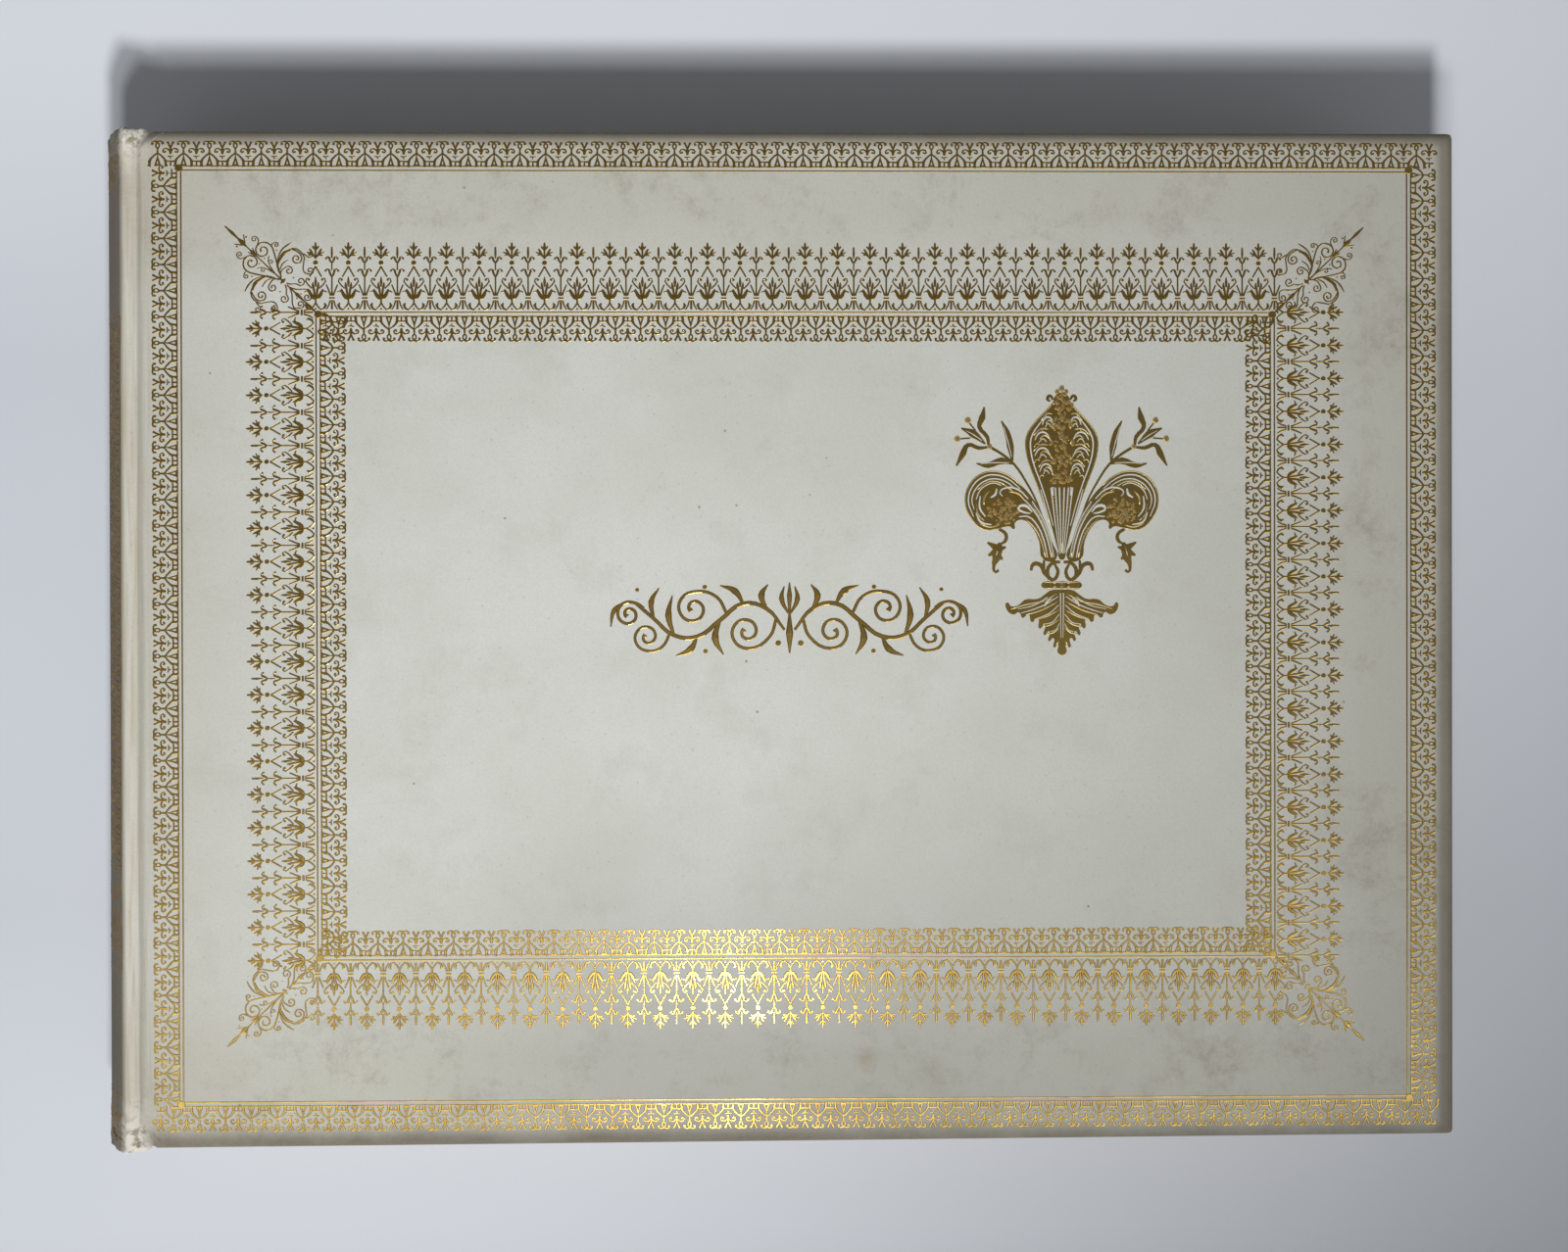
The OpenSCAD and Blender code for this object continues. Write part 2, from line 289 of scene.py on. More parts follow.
first_strip = laid_sheet(
    "linen_hinge", LINEN_COLUMNS, LINEN_ROWS, strip_place, LINEN_THICK, 0.0
)
for number in range(1, LEAF_COUNT + 1):
    low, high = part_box(f"leaf_hinge_{number:02d}")
    strip = own_copy(first_strip, f"linen_hinge_{number:02d}")
    strip.data.transform(Matrix.Translation(low - hinge_low))
    strip.data.materials.append(linen)
    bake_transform(strip)
    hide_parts(f"leaf_hinge_{number:02d}")
bpy.data.objects.remove(first_strip)

# Guards and sewing. Strips of card fill the back of the book to the thickness of the leaves.
# They are sewn through with linen thread over five tapes and lined with cloth.
# The sewn block gives a little as the book opens.
TAPE_PITCH = 0.8 * MM
THREAD_PITCH = 0.3 * MM
WELD = 0.002 * MM
GUARD_EDGE = 0.12 * MM
nodes = frame["nodes"]


def weld(reach, close=False, outwards=False):
    """Join the points of the active piece within reach, and close it or turn it outwards."""
    bpy.ops.object.mode_set(mode="EDIT")
    bpy.ops.mesh.select_all(action="SELECT")
    bpy.ops.mesh.remove_doubles(threshold=reach)
    if close:
        bpy.ops.mesh.fill_holes(sides=0)
        bpy.ops.mesh.select_all(action="SELECT")
    if outwards:
        bpy.ops.mesh.normals_make_consistent(inside=False)
    bpy.ops.object.mode_set(mode="OBJECT")


def from_node(node, name, edge):
    """A piece cut to a frame node's shape, welded and with its sharp edges eased."""
    piece = own_copy(nodes[node], name)
    piece.data.materials.clear()
    take_up(piece)
    weld(WELD)
    if edge:
        apply_modifier(
            piece, "BEVEL", width=edge, segments=1, limit_method="ANGLE", angle_limit=0.7
        )
    smooth(piece)
    return piece


guard_low, guard_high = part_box("guard_stubs")
guard_card = paper_finish(
    "guard card",
    tint(214, 200, 168),
    tint(203, 186, 150),
    tint(170, 146, 106),
    guard_low,
    guard_high,
)
tape_linen = linen_finish("tape linen", tint(214, 204, 180), tint(160, 146, 116), TAPE_PITCH)
thread_linen = linen_finish(
    "sewing thread", tint(226, 218, 198), tint(178, 166, 140), THREAD_PITCH
)
for node, name, finish, slot, edge in (
    ("guard_stubs", "card_guards", guard_card, "guard_card", GUARD_EDGE),
    ("sewing_tapes", "linen_tapes", tape_linen, "linen", 0),
    ("sewing_thread", "linen_thread", thread_linen, "thread", 0),
    ("spine_lining", "spine_lining_cloth", tape_linen, "linen", 0),
):
    piece = from_node(node, name, edge)
    piece.data.materials.append(finish)
    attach(piece, "text_block")
    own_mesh(piece)
    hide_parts(node)

# Endbands. A round core wound closely with silk sits on each end of the guards.
# It is stuck to the back of the block and fills the gap under the head and tail of the spine.
BAND_CORE = 1.0 * MM
BAND_TWIST = 0.14 * MM
BAND_WINDS = 46
WIND_STEPS = 4
BAND_SIDES = 12
SPINE_R = 24.74 * MM
spine_low, spine_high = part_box("spine_vellum")
ROUND_X = spine_low.x + SPINE_R
MIDDLE_Z = (spine_low.z + spine_high.z) / 2


def silk_finish():
    finish, tree, shader, place = new_finish(
        "endband silk", 0.5, Sheen_Weight=0.4, Sheen_Roughness=0.35
    )
    strands = cloud(tree, place, 1900, 3, 0.6, 0.5)
    body = mixed(tree, between(tree, strands, 0.3, 0.7), tint(196, 178, 140), tint(226, 214, 186))
    soiled = between(tree, cloud(tree, place, 180, 4), 0.5, 0.7, 0, 0.5)
    body = mixed(tree, soiled, body, tint(150, 128, 92))
    tree.links.new(body, shader.inputs["Base Color"])
    add_bump(tree, shader, strands, 0.4, 0.05 * MM)
    return finish


silk = silk_finish()
for node, name in (("head_band", "head_band_silk"), ("tail_band", "tail_band_silk")):
    low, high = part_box(node)
    arm = ROUND_X - low.x - (high.y - low.y) / 2
    half_turn = math.asin((high.z - low.z) / 2 / (arm + (high.y - low.y) / 2))
    steps = BAND_WINDS * WIND_STEPS

    def band_place(i, j):
        """Corner of the wound band: round its core by j, along the back of the block by i."""
        along = half_turn * (2 * i / steps - 1)
        around = 2 * math.pi * j / BAND_SIDES
        turn = math.pi * (i / WIND_STEPS + j / BAND_SIDES)
        thick = BAND_CORE + BAND_TWIST * abs(math.sin(turn))
        out = arm + thick * math.cos(around)
        across = (low.y + high.y) / 2 + thick * math.sin(around)
        return (ROUND_X - out * math.cos(along), across, MIDDLE_Z + out * math.sin(along))

    band = laid_grid(name, steps, BAND_SIDES, band_place)
    weld(WELD, close=True, outwards=True)
    smooth(band, 60)
    band.data.materials.append(silk)
    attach(band, "text_block")
    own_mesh(band)
    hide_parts(node)

# Boards. Two sheets of rolled millboard, cut across at the corners next to the joint.
# They lie inside the vellum and only their finish is made here.


def millboard_finish():
    finish, tree, shader, place = new_finish("millboard", 0.9, Specular_IOR_Level=0.2)
    flecks = cloud(tree, place, 420, 6, 0.7, 0.8)
    body = mixed(tree, between(tree, flecks, 0.35, 0.65), tint(120, 106, 88), tint(158, 142, 120))
    tree.links.new(body, shader.inputs["Base Color"])
    add_bump(tree, shader, flecks, 0.5, 0.15 * MM)
    return finish


millboard = millboard_finish()
for node in ("front_board", "back_board"):
    nodes[node].data.materials.clear()
    nodes[node].data.materials.append(millboard)

# Spine card. A strip of card bent to the round of the back stiffens the hollow spine.
# The vellum is turned in over it at head and tail.
front_ridge = Vector(frame["joints"][1]["pos_m"])
stiffener = from_node("spine_stiffener", "spine_card", 0)
stiffener.data.materials.append(guard_card)
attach(stiffener, "text_block")
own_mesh(stiffener)
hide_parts("spine_stiffener")

# Vellum over the boards. One skin covers both boards and the spine, drawn tight and rounded over
# the edges, then turned in on the inner faces. It has gone grey-cream, soiled along every edge.
# Its colour also holds painted shade: on the head edge, towards the fore-edge, over the tail and
# round the spine.
SKIN = 0.6 * MM
CUT_W = 4.2 * MM
CUT_H = 5.4 * MM
OUTER_ROUND = 3.0 * MM
TURN_IN = 14 * MM
JOINT_TURN = 1.2 * MM
OUT_OF_SQUARE = 2.0 * MM
TAIL_EDGE = 6 * MM
LARGE_FACE = 0.05
STAIN_AT = (28 * MM, -128 * MM)
SOIL_AND_SHADE = tint(126, 118, 104)
front_low, front_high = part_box("front_vellum")
back_low, back_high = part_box("back_vellum")


def vellum_finish():
    """Calf vellum: cloudy grey-cream, follicle grain, brown rim soiling, specks and painted shade.
    """
    finish, tree, shader, place = new_finish("vellum", 0.66, Specular_IOR_Level=0.1)
    axes = add_node(tree, "SeparateXYZ", None, {"Vector": place}).outputs
    past_spine = front_low - Vector((80 * MM, 0, 0))
    drift = cloud(tree, place, 13, 5, 0.6)
    blotch = cloud(tree, place, 42, 7, 0.7, 0.1)
    smudge = cloud(tree, place, 38, 9, 0.8, 0.2)
    grain = cloud(tree, place, 1300, 4, 0.6)
    body = mixed(tree, between(tree, drift, 0.38, 0.64), tint(217, 218, 211), tint(208, 209, 200))
    body = mixed(tree, between(tree, blotch, 0.52, 0.8, 0, 0.5), body, tint(186, 184, 171))
    band = rim(tree, place, past_spine, front_high, 52 * MM)
    body = mixed(tree, between(tree, band, 0.05, 0.5, 0, 0.5), body, tint(196, 192, 177))
    joint_side = between(tree, axes["X"], -150 * MM, -180 * MM, 0, 0.3)
    body = mixed(tree, joint_side, body, tint(196, 189, 172))
    # Painted shade: the cover darkens towards the fore-edge, where the light falls off.
    fore_shade = between(tree, axes["X"], 40 * MM, 200 * MM, 0, 0.4)
    body = mixed(tree, fore_shade, body, tint(187, 185, 174))
    # Painted shade: a grey darkening over the middle of the cover towards the tail.
    from_joint = between(tree, axes["X"], -120 * MM, -50 * MM)
    from_fore = between(tree, axes["X"], 150 * MM, 50 * MM)
    middle_span = sums(tree, "MULTIPLY", from_joint, from_fore)
    to_tail = between(tree, axes["Y"], -40 * MM, -125 * MM, 0, 0.36)
    body = mixed(tree, sums(tree, "MULTIPLY", middle_span, to_tail), body, tint(150, 151, 145))
    smudges = between(tree, smudge, 0.5, 0.66)
    grime = sums(tree, "MULTIPLY", smudges, between(tree, band, 0.05, 0.5))
    speckle = between(tree, cloud(tree, place, 360, 5, 0.75), 0.36, 0.62, 0.25, 1.25)
    grime = sums(tree, "MULTIPLY", grime, speckle)
    body = mixed(tree, between(tree, grime, 0, 1.2, 0, 0.7), body, tint(158, 152, 138))
    edge = rim(tree, place, past_spine, front_high, 7 * MM)
    edge = sums(tree, "MULTIPLY", edge, between(tree, blotch, 0.2, 0.7, 0.6, 1.3))
    body = mixed(tree, between(tree, edge, 0.15, 1.0, 0, 0.9), body, tint(114, 105, 90))
    # Painted shade with soil: the rounded head edge, turned from the lamps, is painted darkest;
    # the tail and fore edges are soiled.
    head_edge_shade = between(tree, axes["Y"], 147.5 * MM, 151 * MM, 0, 0.8)
    tail_edge = between(tree, axes["Y"], -149 * MM, -152 * MM, 0, 0.35)
    fore_edge = between(tree, axes["X"], 200.5 * MM, 203.5 * MM, 0, 0.65)
    for rim_soil_and_shade in (head_edge_shade, tail_edge, fore_edge):
        body = mixed(tree, rim_soil_and_shade, body, SOIL_AND_SHADE)
    # Toned vellum with painted shade: the round of the spine, turned from the light, is painted
    # dark.
    spine_tone_and_shade = between(tree, axes["X"], front_ridge.x - 2 * MM, front_ridge.x - 0.6 * MM, 0.9, 0)
    drawn = add_node(tree, "Mapping", {"Scale": (900, 26, 26)}, {"Vector": place})
    streaks = cloud(tree, drawn.outputs["Vector"], 1.0, 5, 0.65)
    streaks = between(tree, streaks, 0.42, 0.68, 0.1, 0.7)
    near_joint = between(tree, axes["X"], front_low.x + 6 * MM, front_low.x - 1 * MM)
    body = mixed(tree, sums(tree, "MULTIPLY", streaks, near_joint), body, tint(176, 163, 140))
    body = mixed(tree, spine_tone_and_shade, body, tint(102, 95, 83))
    cap = between(tree, sums(tree, "ABSOLUTE", axes["Y"], 0), 138 * MM, 149 * MM)
    off_board = between(tree, axes["X"], front_low.x + 4 * MM, front_low.x)
    cap = sums(tree, "MULTIPLY", cap, off_board)
    ridge_x = front_ridge.x
    off_spine = between(tree, axes["X"], ridge_x - 2.5 * MM, ridge_x - 0.5 * MM, 0.15, 1)
    cap = sums(tree, "MULTIPLY", cap, off_spine)
    flaked = cloud(tree, place, 330, 5, 0.7)
    whitened = sums(tree, "MULTIPLY", cap, between(tree, flaked, 0.4, 0.52))
    body = mixed(tree, whitened, body, tint(226, 221, 210))
    browned = sums(tree, "MULTIPLY", cap, between(tree, flaked, 0.44, 0.34, 0, 0.5))
    body = mixed(tree, browned, body, tint(150, 136, 112))
    from_stain = add_node(tree, "VectorMath", {1: (*STAIN_AT, front_high.z)}, {0: place})
    from_stain.operation = "DISTANCE"
    ragged = between(tree, smudge, 0.3, 0.7, -5 * MM, 5 * MM)
    stain = sums(tree, "ADD", from_stain.outputs["Value"], ragged)
    stained = between(tree, stain, 0.5 * MM, 4.5 * MM, 0.55, 0)
    body = mixed(tree, stained, body, tint(160, 138, 112))
    cells = add_node(tree, "TexVoronoi", {"Scale": 62.0}, {"Vector": place}).outputs["Distance"]
    body = mixed(tree, between(tree, cells, 0.018, 0.034, 0.6, 0), body, tint(112, 98, 78))
    fine = add_node(tree, "TexVoronoi", {"Scale": 260.0}, {"Vector": place}).outputs["Distance"]
    body = mixed(tree, between(tree, fine, 0.05, 0.13, 0.2, 0), body, tint(146, 139, 124))
    body = mixed(tree, between(tree, grain, 0.42, 0.62, 0, 0.12), body, tint(166, 162, 150))
    tree.links.new(body, shader.inputs["Base Color"])
    tree.links.new(between(tree, blotch, 0.3, 0.7, 0.6, 0.72), shader.inputs["Roughness"])
    add_bump(tree, shader, grain, 0.3, 0.05 * MM)
    add_bump(tree, shader, blotch, 0.25, 0.35 * MM)
    return finish


vellum = vellum_finish()


def set_rounding(piece, share_at):
    """Give every edge its share of the widest rounding, from where its two ends lie."""
    points = piece.data.vertices
    weights = piece.data.attributes.get("bevel_weight_edge")
    if weights is None:
        weights = piece.data.attributes.new("bevel_weight_edge", "FLOAT", "EDGE")
    for edge, weight in zip(piece.data.edges, weights.data):
        weight.value = share_at(*[points[index].co for index in edge.vertices])


def cover_skin(name, low, high, outer):
    """Vellum drawn over one board; outer is the height of its outer face."""
    deselect_all()
    bpy.ops.mesh.primitive_cube_add(size=1, location=(low + high) / 2, scale=high - low)
    skin = bpy.context.object
    skin.name = name
    bpy.ops.object.transform_apply(location=True, rotation=True, scale=True)
    bpy.ops.object.mode_set(mode="EDIT")
    for side in (-1, 1):
        bpy.ops.mesh.select_all(action="SELECT")
        bpy.ops.mesh.bisect(
            plane_co=(low.x + CUT_W, side * high.y, 0),
            plane_no=Vector((-CUT_H, side * CUT_W, 0)).normalized(),
            use_fill=True,
            clear_outer=True,
        )
    bpy.ops.object.mode_set(mode="OBJECT")

    def rounding(a, b):
        """Share of the widest rounding that one edge of the board takes."""
        if abs(a.z - b.z) > MM:
            return 0.5 if a.x > 0 else 0.25
        if abs(a.z - outer) > MM:
            return 0.32
        return 1.0 if max(a.x, b.x) > 0 else 0.65

    set_rounding(skin, rounding)
    apply_modifier(skin, "BEVEL", width=OUTER_ROUND, segments=6, limit_method="WEIGHT")
    inner_face = min(
        skin.data.polygons,
        key=lambda face: (face.area < LARGE_FACE, abs(face.center.z - outer) < MM),
    )
    inner_index = inner_face.index
    bpy.ops.object.mode_set(mode="EDIT")
    bpy.ops.mesh.select_all(action="DESELECT")
    bpy.ops.object.mode_set(mode="OBJECT")
    skin.data.polygons[inner_index].select = True
    bpy.ops.object.mode_set(mode="EDIT")
    bpy.ops.mesh.select_mode(type="FACE")
    bpy.ops.mesh.inset(thickness=TURN_IN - MM)
    bpy.ops.object.mode_set(mode="OBJECT")
    for index in skin.data.polygons[inner_index].vertices:
        point = skin.data.vertices[index].co
        if point.x < low.x + 2 * TURN_IN:
            point.x = low.x + JOINT_TURN
    bpy.ops.object.mode_set(mode="EDIT")
    bpy.ops.mesh.delete(type="FACE")
    bpy.ops.object.mode_set(mode="OBJECT")
    for point in skin.data.vertices:
        if point.co.y < low.y + TAIL_EDGE:
            point.co.y -= OUT_OF_SQUARE * (high.x - point.co.x) / (high.x - low.x)
    apply_modifier(skin, "SOLIDIFY", thickness=SKIN, offset=-1.0)
    smooth(skin, 30)
    skin.data.materials.append(vellum)
    return skin


front_skin = cover_skin("front_cover_vellum", front_low, front_high, front_high.z)
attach(front_skin, "front_cover")
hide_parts("front_vellum")
back_skin = cover_skin("back_cover_vellum", back_low, back_high, back_low.z)
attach(back_skin, "back_cover")
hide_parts("back_vellum")

# Vellum of the spine. The same skin rounds the hollow back and folds over its card at both ends.
# Years of pulling at the caps have crumpled and whitened it there.
SPINE_HALF = math.radians(58.8)
LIP_R = 1.1 * MM
LIP_STEPS = 6
TAIL_DRAW = 2.4 * MM
DRAW_FROM, DRAW_RUN = 144 * MM, 9 * MM
WEAR_FROM, WEAR_RUN = 136 * MM, 17 * MM
WEAR_DEPTH = 0.7 * MM
ROUND_STEPS = 56
spine_top = spine_high.y
lip_y = spine_top - LIP_R


def drawn_down(y, pull=TAIL_DRAW):
    """The tail of the spine has been pulled a little longer than the head."""
    return y - pull * max(0.0, min(1.0, (-y - DRAW_FROM) / DRAW_RUN))


def cap_wear(x, y, z):
    """How far the vellum is crumpled out of true near the head and tail."""
    near = max(0.0, min(1.0, (abs(y) - WEAR_FROM) / WEAR_RUN))
    spot = Vector((x, y, z))
    folds = noise.noise(spot * 210) + 0.6 * noise.noise(spot * 520)
    return near * near * folds * WEAR_DEPTH + 0.06 * MM * noise.noise(spot * 70)


spine_path = [(-(spine_top - TURN_IN), 2 * LIP_R), (-(spine_top - TURN_IN / 2), 2 * LIP_R)]
for step in range(LIP_STEPS + 1):
    swing = math.pi * step / LIP_STEPS
    spine_path.append((-lip_y - LIP_R * math.sin(swing), LIP_R * (1 + math.cos(swing))))
spine_path += [(y * MM, 0) for y in (-151, -149, -147, -145, -142, -139)]
head_path = [(-y, inset) for y, inset in reversed(spine_path)]
spine_path += [(y * MM, 0) for y in range(-135, 136, 6)] + head_path


def spine_place(i, j):
    """Corner of the skin: i runs from tail to head with its two laps, j round the back."""
    y, inset = spine_path[i]
    swing = SPINE_HALF * (1 - 2 * j / ROUND_STEPS)
    out = SPINE_R - inset
    x = ROUND_X - out * math.cos(swing)
    z = MIDDLE_Z + out * math.sin(swing)
    out += cap_wear(x, y, z) * (1 if inset < LIP_R else 0.3)
    return (ROUND_X - out * math.cos(swing), drawn_down(y), MIDDLE_Z + out * math.sin(swing))


path_steps = len(spine_path) - 1
spine_skin = laid_sheet("spine_vellum_skin", path_steps, ROUND_STEPS, spine_place, SKIN)
smooth(spine_skin, 50)
spine_skin.data.materials.append(vellum)
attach(spine_skin, "text_block")
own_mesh(spine_skin)
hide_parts("spine_vellum")

# Joints. Between the ridge of the spine and each board the vellum is set down into a groove.
# It is the hinge of the cover, and at head and tail it spreads to the cut corner of the board.
JOINT_PROFILE = [(-0.95, 0.5), (-0.6, 1.0), (-0.2, 1.24), (0.2, 1.26), (0.6, 1.14), (1.0, 0.92)]
JOINT_PROFILE += [(1.5, 0.66), (2.1, 0.46), (2.7, 0.36), (3.2, 0.26), (3.4, 0.2), (3.6, 0.28)]
JOINT_PROFILE += [(4.1, 0.52), (4.7, 0.92), (5.4, 1.32), (6.2, 1.6), (7.2, 1.61)]
GROOVE_FROM, GROOVE_BED, GROOVE_END = 1.5, 3.4, 7.2
BOARD_CLIMB = 1.3
TUCK_FROM, TUCK_RUN, TUCK = 147, 6.8, 1.6
CAP_FROM, CAP_RUN, CAP_FALL = 151.6, 2.2, 1.3
BOARD_END = 153
joint_rows = [-153.8, -153.4, -152.8, -152, -151, -150, -149, -148, -147, -145, -142, -138]
joint_rows += list(range(-132, 133, 6)) + [-y for y in reversed(joint_rows)]
back_ridge = Vector(frame["joints"][0]["pos_m"])


def joint_skin(name, ridge, face):
    """A strip over one ridge and down into its groove; face is 1 on the front, -1 on the back."""

    def joint_place(i, j):
        across, up = JOINT_PROFILE[i]
        y = joint_rows[j if face > 0 else len(joint_rows) - 1 - j]
        spread = max(0.0, abs(y) - (front_high.y - CUT_H) / MM) / (CUT_H / MM)
        across += spread * CUT_W / MM * max(0.0, across - GROOVE_FROM) / (GROOVE_END - GROOVE_FROM)
        on_board = max(0.0, min(1.0, (JOINT_PROFILE[i][0] - GROOVE_BED) / BOARD_CLIMB))
        tuck = TUCK * on_board * max(0.0, (abs(y) - TUCK_FROM) / TUCK_RUN)
        y = math.copysign(abs(y) - tuck, y)
        past_cap = max(0.0, abs(y) - CAP_FROM) / CAP_RUN
        free = CAP_FALL * (1 - math.sqrt(max(0.0, 1 - past_cap**2)))
        round_mm = OUTER_ROUND / MM
        past_edge = max(0.0, abs(y) - BOARD_END + round_mm)
        held = round_mm - math.sqrt(max(0.0, round_mm**2 - past_edge**2))
        up -= (1 - on_board) * free + on_board * held
        x, z = ridge.x + across * MM, ridge.z + face * up * MM
        lift = cap_wear(x, y * MM, z) * (0.4 if i < 2 else 0.9)
        pull = TAIL_DRAW * (1 - on_board) + OUT_OF_SQUARE * on_board
        return (x, drawn_down(y * MM, pull), z + face * lift)

    strip = laid_sheet(name, len(JOINT_PROFILE) - 1, len(joint_rows) - 1, joint_place, SKIN)
    smooth(strip, 50)
    strip.data.materials.append(vellum)
    return strip


front_joint = joint_skin("front_joint_vellum", front_ridge, 1)
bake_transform(front_joint)
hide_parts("front_joint")
back_joint = joint_skin("back_joint_vellum", back_ridge, -1)
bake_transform(back_joint)
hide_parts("back_joint")

# Endpapers. A sheet of cream paper is pasted down over the turn-ins of each board.
# It crosses the joint, folds back on the guards and runs on as the free flyleaf.
PASTE_MARGIN = 5 * MM
PAPER = 0.2 * MM
FOLD_PAPER = 0.16 * MM
WINDOW_DEPTH = 0.5 * MM
STEP_W = 1.4 * MM
endpaper = paper_finish(
    "endpaper",
    tint(230, 223, 205),
    tint(221, 211, 189),
    tint(184, 158, 116),
    front_low,
    front_high,
)
fore_x = front_high.x
paper_x = [front_low.x + step * MM for step in (0.3, 3, 8)]
paper_x += [front_low.x + step * MM for step in range(20, 376, 16)]
paper_x += [fore_x - TURN_IN + step * STEP_W for step in (-3, -1, -0.5, 0, 0.5, 1)]
paper_x += [fore_x - 9 * MM, fore_x - PASTE_MARGIN]
paper_y = [-(front_high.y - PASTE_MARGIN), -(front_high.y - 9 * MM)]
paper_y += [-(front_high.y - TURN_IN) + step * STEP_W for step in (-1, -0.5, 0, 0.5, 1, 3)]
head_y = [-y for y in reversed(paper_y)]
paper_y += [step * MM for step in range(-120, 121, 15)] + head_y


def on_turn_in(x, y):
    """1 over the vellum turned in round the board, 0 on the bare board inside it."""
    inside = min(fore_x - TURN_IN - x, front_high.y - TURN_IN - abs(y))
    share = max(0.0, min(1.0, (STEP_W - inside) / (2 * STEP_W)))
    return share * share * (3 - 2 * share)


def pastedown(name, node, body, inner_face, face):
    """Sheet on the inside of one board; face is 1 under the front board, -1 on the back one."""

    def paper_place(i, j):
        x, y = paper_x[i], paper_y[j if face < 0 else len(paper_y) - 1 - j]
        sunk = WINDOW_DEPTH * (1 - on_turn_in(x, y))
        return (x, y, inner_face + face * (sunk - PAPER))

    sheet = laid_sheet(name, len(paper_x) - 1, len(paper_y) - 1, paper_place, PAPER)
    smooth(sheet, 50)
    sheet.data.materials.append(endpaper)
    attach(sheet, body)
    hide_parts(node)


pastedown("front_pastedown_paper", "front_pastedown", "front_cover", front_low.z, 1)
pastedown("back_pastedown_paper", "back_pastedown", "back_cover", back_high.z, -1)

FOLD_PROFILE = [(10.2, 0.5), (8, 0.48), (5, 0.48), (2.4, 0.48), (1.7, 0.45), (1.45, 0.34)]
FOLD_PROFILE += [(1.4, 0.2), (1.45, 0.06), (1.7, -0.08), (2.4, -0.14), (3.6, -0.14), (5.2, -0.06)]
FLY_ROWS = 20
fly_low, fly_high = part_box("front_flyleaf")


def inner_fold(name, node, ridge, inner_face, face):
    """Paper folded back in one joint, from the guards to the board."""

    def fold_place(i, j):
        across, under = FOLD_PROFILE[i if face < 0 else len(FOLD_PROFILE) - 1 - i]
        y = fly_low.y + (fly_high.y - fly_low.y) * j / FLY_ROWS
        return (ridge.x + across * MM, y, inner_face - face * under * MM)

    fold = laid_sheet(name, len(FOLD_PROFILE) - 1, FLY_ROWS, fold_place, FOLD_PAPER, 0.0)
    smooth(fold, 60)
    fold.data.materials.append(endpaper)
    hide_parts(node)
    return fold


front_fold = inner_fold("front_joint_paper", "front_inner_joint", front_ridge, front_low.z, 1)
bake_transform(front_fold)
back_fold = inner_fold("back_joint_paper", "back_inner_joint", back_ridge, back_high.z, -1)
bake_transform(back_fold)

FLY_BEND = 4 * MM
BEND_STEPS, FLAT_STEPS = 8, 18
FLY_WAVE = 0.03 * MM
for node, name in (
    ("front_flyleaf", "front_flyleaf_paper"),
    ("back_flyleaf", "back_flyleaf_paper"),
):
    low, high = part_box(node)
    level = (low.z + high.z) / 2

    def fly_place(i, j):
        flat = high.x - low.x - FLY_BEND
        if i < BEND_STEPS:
            x = low.x + FLY_BEND * i / BEND_STEPS
        else:
            x = low.x + (FLY_BEND + flat * (i - BEND_STEPS) / FLAT_STEPS)
        y = low.y + (high.y - low.y) * j / FLY_ROWS
        return (x, y, level + FLY_WAVE * noise.noise(Vector((x, y, level)) * 14))

    flyleaf = laid_sheet(name, BEND_STEPS + FLAT_STEPS, FLY_ROWS, fly_place, PAPER, 0.0)
    smooth(flyleaf, 50)
    flyleaf.data.materials.append(endpaper)
    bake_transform(flyleaf)
    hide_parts(node)

# Gilt fillets. Two fine lines rolled side by side in gold leaf frame the cover twice.
# A round stamp covers each corner where the lines meet.
STAMP_R = 1.35
LINE_W = 0.5
LINE_GAP = 1.25
GOLD_LIFT = 0.02 * MM
GOLD_WELD = 0.0005 * MM
STUD_SIDES = 8
STUD_TALL, STUD_SUNK = 0.12, 0.05
FLAT_TOP = 0.97
GLINT, GLINT_SLANT = -0.345, 0.3
cover_top = front_high.z
fillet_low, fillet_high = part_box("outer_fillet")
inner_low, inner_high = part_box("inner_fillet")
FILLET_X = (fillet_low.x + fillet_high.x) / 2 / MM


def stamped_size(low, high):
    """Width and height of a fillet between the middles of its corner stamps, in millimetres."""
    return tuple((high[axis] - low[axis]) / MM - 2 * STAMP_R for axis in (0, 1))


OUTER_FILLET = stamped_size(fillet_low, fillet_high)
INNER_FILLET = stamped_size(inner_low, inner_high)


def gold_finish(name, bright, rim_soil_and_shade, low, high):
    """Gold leaf over size: warm metal, rubbed duller in patches, pitted by the grain under it."""
    finish, tree, shader, place = new_finish(name, low, Metallic=1.0)
    rub = cloud(tree, place, 150, 5, 0.65)
    pits = cloud(tree, place, 2300, 3)
    body = mixed(tree, between(tree, rub, 0.35, 0.72), bright, rim_soil_and_shade)
    tree.links.new(body, shader.inputs["Base Color"])
    tree.links.new(between(tree, rub, 0.3, 0.7, low, high), shader.inputs["Roughness"])
    add_bump(tree, shader, pits, 0.3, 0.03 * MM)
    return finish


gold = gold_finish("gold leaf", tint(230, 196, 112), tint(184, 148, 72), 0.22, 0.36)


